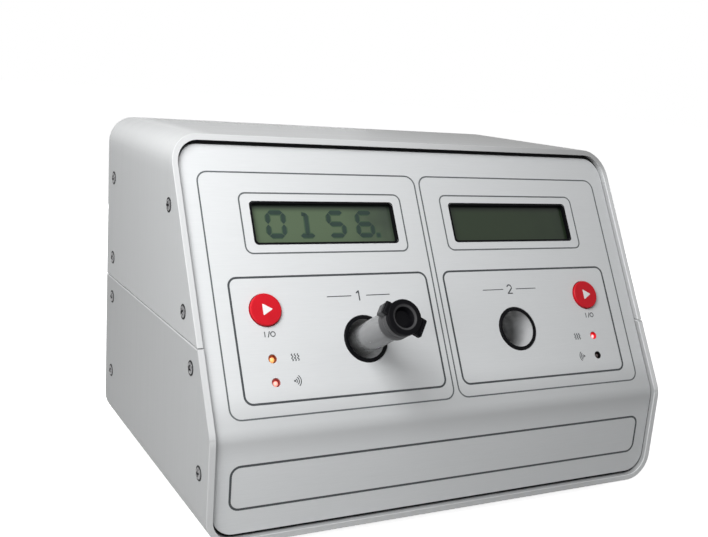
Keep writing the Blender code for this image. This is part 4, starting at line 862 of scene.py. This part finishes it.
def screwHead():
    # a low crowned head with a cross recess, drawn once and copied for all sixteen
    look = screwLook
    crown = [(0.0, look["crown"])] + [
        (look["radius"] * t, look["crown"] * (1 - t * t) ** 0.5 * look["crownRound"] + look["crownEdge"])
        for t in look["crownSteps"]]
    crown += [(look["radius"], 0.0), (look["radius"] * look["neck"], -look["holeSink"] / 4),
              (look["shank"], -look["holeSink"]), (0.0, -look["holeSink"])]
    head = bpy.data.objects.new("head", turned(crown, steps=40))
    cross = []
    for turn in (0, 90):
        bar = flat([rounded(0, 0, look["slotLength"], look["slotWidth"], look["slotCorner"], 2)],
                   look["crown"] - look["slotDepth"], look["crown"] + 1)
        bar.transform(Matrix.Rotation(math.radians(turn), 4, "Z"))
        cross.append(bpy.data.objects.new("bar", bar))
    for tool in cross + [head]:
        bpy.context.scene.collection.objects.link(tool)
    for tool in cross:
        step = head.modifiers.new("recess", "BOOLEAN")
        step.operation, step.object, step.solver = "DIFFERENCE", tool, "EXACT"
    mesh = bpy.data.meshes.new_from_object(head.evaluated_get(bpy.context.evaluated_depsgraph_get()))
    for tool in cross + [head]:
        bpy.data.objects.remove(tool)
    return mesh


def coverScrews():
    look, head = screwLook, screwHead()
    caseFloor = knee.z - look["kneeHeight"] * 0.001
    slope, inset = math.asin(outward.z), look["recessInset"]
    long, narrow = look["slotLength"], look["slotWidth"]
    for side, hand in (("left", -1), ("right", 1)):
        row, dark = 0, []
        for height in look["heights"]:
            rise = max(0.0, height - look["kneeHeight"])
            setback = look["setback"] / (math.cos(slope) if rise else 1)
            for depth in (rise * math.tan(slope) + setback, look["rear"]):
                spot = Vector((hand * caseSide, knee.y + depth * 0.001, caseFloor + height * 0.001))
                place = drawingFrame(spot, rearward * hand, skyward)
                place = place @ Matrix.Rotation(math.radians(look["turns"][row]), 4, "Z")
                mesh = head.copy()
                mesh.transform(place)
                # painted shade: a black ring stands for the shadow gap round each head, and black crosses
                # darken the bottom of its recess
                dark.append(flat([disc(look["washer"])], look["washerLow"], look["washerTop"], place))
                for wide, tall in ((long, narrow), (narrow, long)):
                    cross = rounded(0, 0, wide - inset, tall - inset, look["recessCorner"], 2)
                    dark.append(flat([cross], look["bed"], look["recess"], place))
                row += 1
                piece("cover_screw_%s_%d" % (side, row), [mesh], "analyzer", finishes["screw_steel"])
        piece("screw_washers_" + side, dark, "analyzer", finishes["black_plastic"])
    bpy.data.meshes.remove(head)


coverScrews()
print("screws seated")


# Rear fittings, drawn as seen from behind

raised = {"sink": 0.1, "printSink": 0.05, "print": 0.04, "under": 0.01}     # into and over what carries it
inletLook = {
    "x": -0.070, "face": 2.7, "rimWidth": 28.6, "rimHeight": 35.6, "rimCorner": 2.0, "rimLine": 0.7,
    "rimProud": 0.25, "bladePitch": 7.0, "bladeV": 7.2, "earthUp": 2.0, "bladeWidth": 2.2, "bladeHeight": 4.7,
    "bladeCorner": 0.4, "bladeLow": -14.0, "bladeTop": -3.2,
    "drawerV": -11.3, "drawerFace": 3.9, "gripWidth": 11.0, "gripHeight": 0.7, "gripCorner": 0.3,
    "gripRows": (-3.1, -2.0), "gripProud": 0.5,
    "fuseUp": 1.2, "fuseWidth": 6.4, "fuseHeight": 2.2, "fuseCorner": 0.2, "fuseReach": 5.4, "pen": 0.35,
}


def rearInlet():
    look, place = inletLook, rearPlace(inletLook["x"])
    blades = []
    for spot in (-1, 0, 1):
        rise = look["bladeV"] + (0 if spot else look["earthUp"])
        blade = rounded(spot * look["bladePitch"], rise, look["bladeWidth"], look["bladeHeight"],
                        look["bladeCorner"], 3)
        blades.append(flat([blade], look["bladeLow"], look["bladeTop"], place))
    piece("inlet_blades", blades, "analyzer", finishes["steel"])
    rim = border(0, 0, look["rimWidth"], look["rimHeight"], look["rimCorner"], look["rimLine"])
    piece("inlet_rim", [flat(rim, look["face"] - raised["sink"], look["face"] + look["rimProud"], place)],
          "analyzer", finishes["cap_plastic"])
    v, face = look["drawerV"], look["drawerFace"]
    grip = [flat([rounded(0, v + row, look["gripWidth"], look["gripHeight"], look["gripCorner"], 3)],
                 face - raised["sink"], face + look["gripProud"], place) for row in look["gripRows"]]
    piece("fuse_drawer_grip", grip, "fuse_drawer", finishes["grey_plastic"])
    v += look["fuseUp"]
    fuse = border(0, v, look["fuseWidth"], look["fuseHeight"], look["fuseCorner"], look["pen"])
    wire = stroke([(-look["fuseReach"], v), (look["fuseReach"], v)], look["pen"])
    low, high = face - raised["printSink"], face + raised["print"]
    piece("fuse_symbol", [flat(fuse, low, high, place), flat([wire], low, high - raised["under"], place)],
          "fuse_drawer", ink["dark"])


switchLook = {
    "x": -0.008, "pivot": 0.9, "tilt": 8.0, "rise": 3.6, "horn": 1.0, "half": 8.8, "markAt": 0.56,
    "bar": 1.3, "barPen": 0.55, "ring": (1.55, 1.05),
}


def rearSwitch():
    look = switchLook
    lean = (rearPlace(look["x"]) @ Matrix.Translation((0, 0, look["pivot"]))
            @ Matrix.Rotation(math.radians(-look["tilt"]), 4, "X"))
    slope, at = math.atan2(look["horn"], look["half"]), look["markAt"]
    drawings = {1: [stroke([(0, -look["bar"]), (0, look["bar"])], look["barPen"])],
                -1: [disc(radius) for radius in look["ring"]]}
    marks = []
    for half, rings in drawings.items():
        place = lean @ Matrix.Translation((0, half * at * look["half"], look["rise"] + at * look["horn"]))
        marks.append(flat(rings, -raised["printSink"], raised["print"],
                          place @ Matrix.Rotation(half * slope, 4, "X")))
    piece("rocker_marks", marks, "rocker", ink["white"])


serialLook = {
    "x": 0.070, "shellX": 8.5, "shellY": 4.3, "slant": 1.2, "face": 5.5, "wall": 0.9, "corner": 1.0,
    "insertSink": 0.2, "insertProud": 0.08,
    "pinPitch": 2.74, "pinRow": 1.42, "pinRadius": 0.5, "pinProud": 0.12,
    "jackU": 12.2, "jackRadius": 2.7, "jackCorner": 0.25, "jackBore": 1.25, "jackLow": 1.0, "jackTop": 5.0,
}


def rearSerial():
    look, place = serialLook, rearPlace(serialLook["x"])
    x, y, face = look["shellX"] - look["wall"], look["shellY"] - look["wall"], look["face"]
    shell = softened([(look["slant"] - x, -y), (x - look["slant"], -y), (x, y), (-x, y)], look["corner"],
                     closed=True)
    piece("serial_insert", [flat([shell], face - look["insertSink"], face + look["insertProud"], place)],
          "analyzer", finishes["black_plastic"])
    pins = []
    for count, v in ((5, look["pinRow"]), (4, -look["pinRow"])):
        for k in range(count):
            pin = disc(look["pinRadius"], (k - (count - 1) / 2) * look["pinPitch"], v, 16)
            pins.append(flat([pin], face - raised["sink"], face + look["pinProud"], place))
    piece("serial_contacts", pins, "analyzer", finishes["bronze"])
    for name, side in (("left", -1), ("right", 1)):
        u = side * look["jackU"]
        hexagon = softened(disc(look["jackRadius"], u, 0, 6), look["jackCorner"], closed=True)
        nut = flat([hexagon, disc(look["jackBore"], u, 0, 24)], look["jackLow"], look["jackTop"], place)
        piece("serial_jackscrew_" + name, [nut], "analyzer", finishes["screw_steel"])


plateLook = {
    "x": 0.052, "z": 0.113, "width": 58.0, "height": 30.0, "corner": 2.0, "thick": 0.4,
    "margin": 1.5, "frameCorner": 1.2, "frame": 0.4, "rule": 0.3, "frameProud": 0.05,
}


def rearPlate():
    look = plateLook
    place = rearPlace(look["x"], look["z"])
    width, height, face, margin = look["width"], look["height"], look["thick"], look["margin"]
    sheet = flat([rounded(0, 0, width, height, look["corner"])], -raised["printSink"], face, place)
    piece("rating_plate", [sheet], "analyzer", finishes["panel_silver"])
    low, reach = face - raised["printSink"], width / 2 - margin - look["frame"] / 2
    lines = [flat(border(0, 0, width - 2 * margin, height - 2 * margin, look["frameCorner"], look["frame"]),
                  low, face + look["frameProud"], place)]
    for v in (-height / 6, height / 6):
        rule = stroke([(-reach, v), (reach, v)], look["rule"])
        lines.append(flat([rule], low, face + raised["print"], place))
    piece("rating_plate_lines", lines, "analyzer", ink["grey"])


rearInlet()
rearSwitch()
rearSerial()
rearPlate()
print("rear fittings detailed")


# Test tube in well 1, drawn along its axis with the panel's face at height zero

tubeLook = {
    "radius": 6.0, "wall": 0.9, "tip": -46.9, "top": 28.1, "rimRound": 0.35, "steps": 72,
    "capRadius": 7.0, "capTop": 29.8, "capLow": 23.7, "hug": 6.3, "mouth": 4.3, "capRoof": 28.4,
    "capRound": 0.3,
    "groove": (28.3, 28.0, 27.5, 27.2), "grooveDepth": 0.35,
    "earOut": -7.55, "earLength": 2.7, "earCorner": 0.6, "earLow": 26.4,
    "lidRadius": 7.1, "lidLow": 30.1, "lidTop": 32.5, "lidHole": 4.4, "skirtLow": 31.2, "skirtInset": 0.05,
    "recessRadius": 5.0, "recess": ((4.6, 32.1), (4.3, 32.1), (3.1, 30.0)), "floor": 29.9, "lipRadius": 4.6,
    "plug": 3.9, "plugLow": 28.85, "plugTop": 30.3,
    "tabTop": 31.7, "tabReach": 9.2, "tabWidth": 7.6, "tabCorner": 0.7, "tabAngle": -33.0,
    "ridge": (1.4, 0.25), "ridgeInset": 0.5, "ridgeCorner": 0.4, "ridgeLow": 0.2, "ridgeProud": 0.45,
    "hingeReach": 8.0, "hingeWidth": 4.6, "knuckle": 1.0, "knuckleLength": 1.9,
}
tubePlace = slopePlace(-panelLayout["wellU"], panelLayout["wellV"])
hingePlace = tubePlace @ Matrix.Rotation(math.radians(tubeLook["tabAngle"]), 4, "Z")


def tubeBarrel():
    look = tubeLook
    inner, centre = look["radius"] - look["wall"], look["tip"] + look["radius"]
    bowl = arc(0, centre, inner, -90, 0, 12)
    dome = arc(0, centre, look["radius"], 0, -90, 12)
    rim = softened([bowl[-1], (inner, look["top"]), (look["radius"], look["top"]), dome[0]], look["rimRound"])
    piece("test_tube_barrel", [turned(bowl[:-1] + rim + dome[1:], tubePlace, look["steps"])], "test_tube",
          finishes["tube_plastic"], ["tube_barrel"])


def tubeCap():
    look = tubeLook
    wide, waist, roof = look["capRadius"], look["capRadius"] - look["grooveDepth"], look["capRoof"]
    groove = list(zip((wide, waist, waist, wide), look["groove"]))
    outline = [(look["mouth"], look["capTop"]), (wide, look["capTop"]), *groove, (wide, look["capLow"]),
               (look["hug"], look["capLow"]), (look["hug"], roof), (look["mouth"], roof)]
    ear = rounded(look["earOut"], 0, look["earLength"], look["hingeWidth"], look["earCorner"])
    cap = [turned(softened(outline, look["capRound"], closed=True), tubePlace, look["steps"], closed=True),
           flat([ear], look["earLow"], look["capTop"], hingePlace)]
    piece("test_tube_cap", cap, "test_tube", finishes["cap_plastic"], ["tube_cap"])


def tubeLid():
    look = tubeLook
    corner, reach = look["tabWidth"] / 2, look["tabReach"]
    edge = math.degrees(math.asin(corner / look["lidRadius"]))
    outline = arc(0, 0, look["lidRadius"], edge, 360 - edge, 56)
    tab = softened([outline[-1], (reach, -corner), (reach, corner), outline[0]], look["tabCorner"])
    lid = [flat([outline[1:-1] + tab, disc(look["lidHole"])], look["lidLow"], look["tabTop"], hingePlace)]

    skirt = look["lidRadius"] - look["skirtInset"]
    bowl = softened([(skirt, look["skirtLow"]), (skirt, look["lidTop"]),
                     (look["recessRadius"], look["lidTop"]), *look["recess"]], look["rimRound"])
    bowl += [(0, look["floor"]), (0, look["plugLow"]), (look["plug"], look["plugLow"]),
             (look["plug"], look["plugTop"]), (look["lipRadius"], look["skirtLow"])]
    lid.append(turned(bowl, tubePlace, look["steps"], closed=True))

    back, front = (reach - inset for inset in look["ridge"])
    side, top = corner - look["ridgeInset"], look["tabTop"]
    ridge = softened([(back, -side), (front, -side), (front, side), (back, side)], look["ridgeCorner"],
                     closed=True)
    lid.append(flat([ridge], top - look["ridgeLow"], top + look["ridgeProud"], hingePlace))

    radius, length, half = look["knuckle"], look["knuckleLength"], look["hingeWidth"] / 2
    across = hingePlace @ Matrix.Translation((-look["hingeReach"], 0, (look["lidLow"] + look["lidTop"]) / 2))
    knuckle = arc(0, 0, radius, 90, 270, 10) + [(length, -radius), (length, radius)]
    lid.append(flat([knuckle], -half, half, across @ Matrix.Rotation(math.radians(90), 4, "X")))
    piece("test_tube_lid", lid, "tube_lid", finishes["lid_plastic"], ["tube_lid"])


tubeBarrel()
tubeCap()
tubeLid()
print("test tube standing in well 1")


# Camera, lights and floor

cameraLook = {
    "place": (-0.22359, -0.37724, 0.17641), "turn": (-28.838, 76.051, 4.461), "lens": 48.774, "sensor": 36.0,
    "shiftY": 0.06938,
}


def aimCamera():
    look = cameraLook
    camera = bpy.data.cameras.new("camera")
    camera.lens, camera.sensor_width, camera.shift_y = look["lens"], look["sensor"], look["shiftY"]
    camera.clip_start = 0.01
    made = bpy.data.objects.new("camera", camera)
    around, tilt, roll = (math.radians(angle) for angle in look["turn"])
    made.matrix_world = (Matrix.Translation(look["place"]) @ Matrix.Rotation(around, 4, "Z")
                         @ Matrix.Rotation(tilt, 4, "X") @ Matrix.Rotation(roll, 4, "Z"))
    bpy.context.scene.collection.objects.link(made)
    bpy.context.scene.camera = made


lightLooks = {                              # place, target, size in metres and power in watts
    "keySoftbox": ((-0.30, -0.18, 0.43), (-0.06, -0.03, 0.10), (0.30, 0.30), 2.25),
    "sideFill": ((-0.29, -0.23, 0.15), (-0.10, -0.04, 0.10), (0.14, 0.14), 0.28),
    "rightFill": ((0.80, 0.16, 0.12), (0.11, 0.02, 0.075), (0.40, 0.20), 2.4),
    "rearFill": ((0.20, 0.80, 0.12), (0.02, 0.08, 0.075), (0.40, 0.20), 1.5),
}


def hangLights():
    for name, (place, target, size, power) in lightLooks.items():
        light = bpy.data.lights.new(name, "AREA")
        light.shape = "RECTANGLE"
        light.size, light.size_y = size
        light.energy = power
        made = bpy.data.objects.new(name, light)
        made.location = place
        made.rotation_euler = (Vector(target) - Vector(place)).to_track_quat("-Z", "Y").to_euler()
        bpy.context.scene.collection.objects.link(made)


def backdropRays(wire):
    # camera, glossy and transmission rays see the white backdrop
    path = [wire.node("ShaderNodeLightPath", out=name)
            for name in ("Is Camera Ray", "Is Glossy Ray", "Is Transmission Ray")]
    return wire.maths("MAXIMUM", wire.maths("MAXIMUM", path[0], path[1]), path[2])


stageLook = {"ambient": 0.20, "floorSize": 12.0, "floorColour": (0.36, 0.36, 0.36),
             "floorPaper": (0.95, 0.95, 0.95), "floorWhite": 0.84}


def layFloor():
    half = stageLook["floorSize"] / 2
    mesh = bpy.data.meshes.new("floor")
    corners = [(-half, -half, 0), (half, -half, 0), (half, half, 0), (-half, half, 0)]
    mesh.from_pydata(corners, [], [(0, 1, 2, 3)])
    material = bpy.data.materials.new("paleFloor")
    material.use_nodes = True
    tree = material.node_tree
    tree.nodes.clear()
    wire = Wire(tree)
    colour = wire.node("ShaderNodeMix", {"data_type": "RGBA"},
                       {0: wire.node("ShaderNodeLightPath", out="Is Camera Ray"), 6: stageLook["floorColour"],
                        7: stageLook["floorPaper"]}, out=2)
    paper = wire.node("ShaderNodeBsdfDiffuse", None, {"Color": colour})
    white = wire.node("ShaderNodeEmission", None, {"Color": (1.0, 1.0, 1.0),
                                                   "Strength": backdropRays(wire) * stageLook["floorWhite"]})
    both = wire.node("ShaderNodeAddShader", None, {0: paper, 1: white})
    wire.node("ShaderNodeOutputMaterial", None, {"Surface": both})
    mesh.materials.append(material)
    floor = bpy.data.objects.new("floor", mesh)
    bpy.context.scene.collection.objects.link(floor)


def lightSky():
    world = bpy.data.worlds.new("studio")
    world.use_nodes = True
    tree = world.node_tree
    tree.nodes.clear()
    wire = Wire(tree)
    strength = backdropRays(wire) * (1 - stageLook["ambient"]) + stageLook["ambient"]
    sky = wire.node("ShaderNodeBackground", None, {"Color": (1.0, 1.0, 1.0), "Strength": strength})
    wire.node("ShaderNodeOutputWorld", None, {"Surface": sky})
    bpy.context.scene.world = world


aimCamera()
hangLights()
layFloor()
lightSky()
bpy.context.scene.view_settings.view_transform = "Standard"
print("studio set")
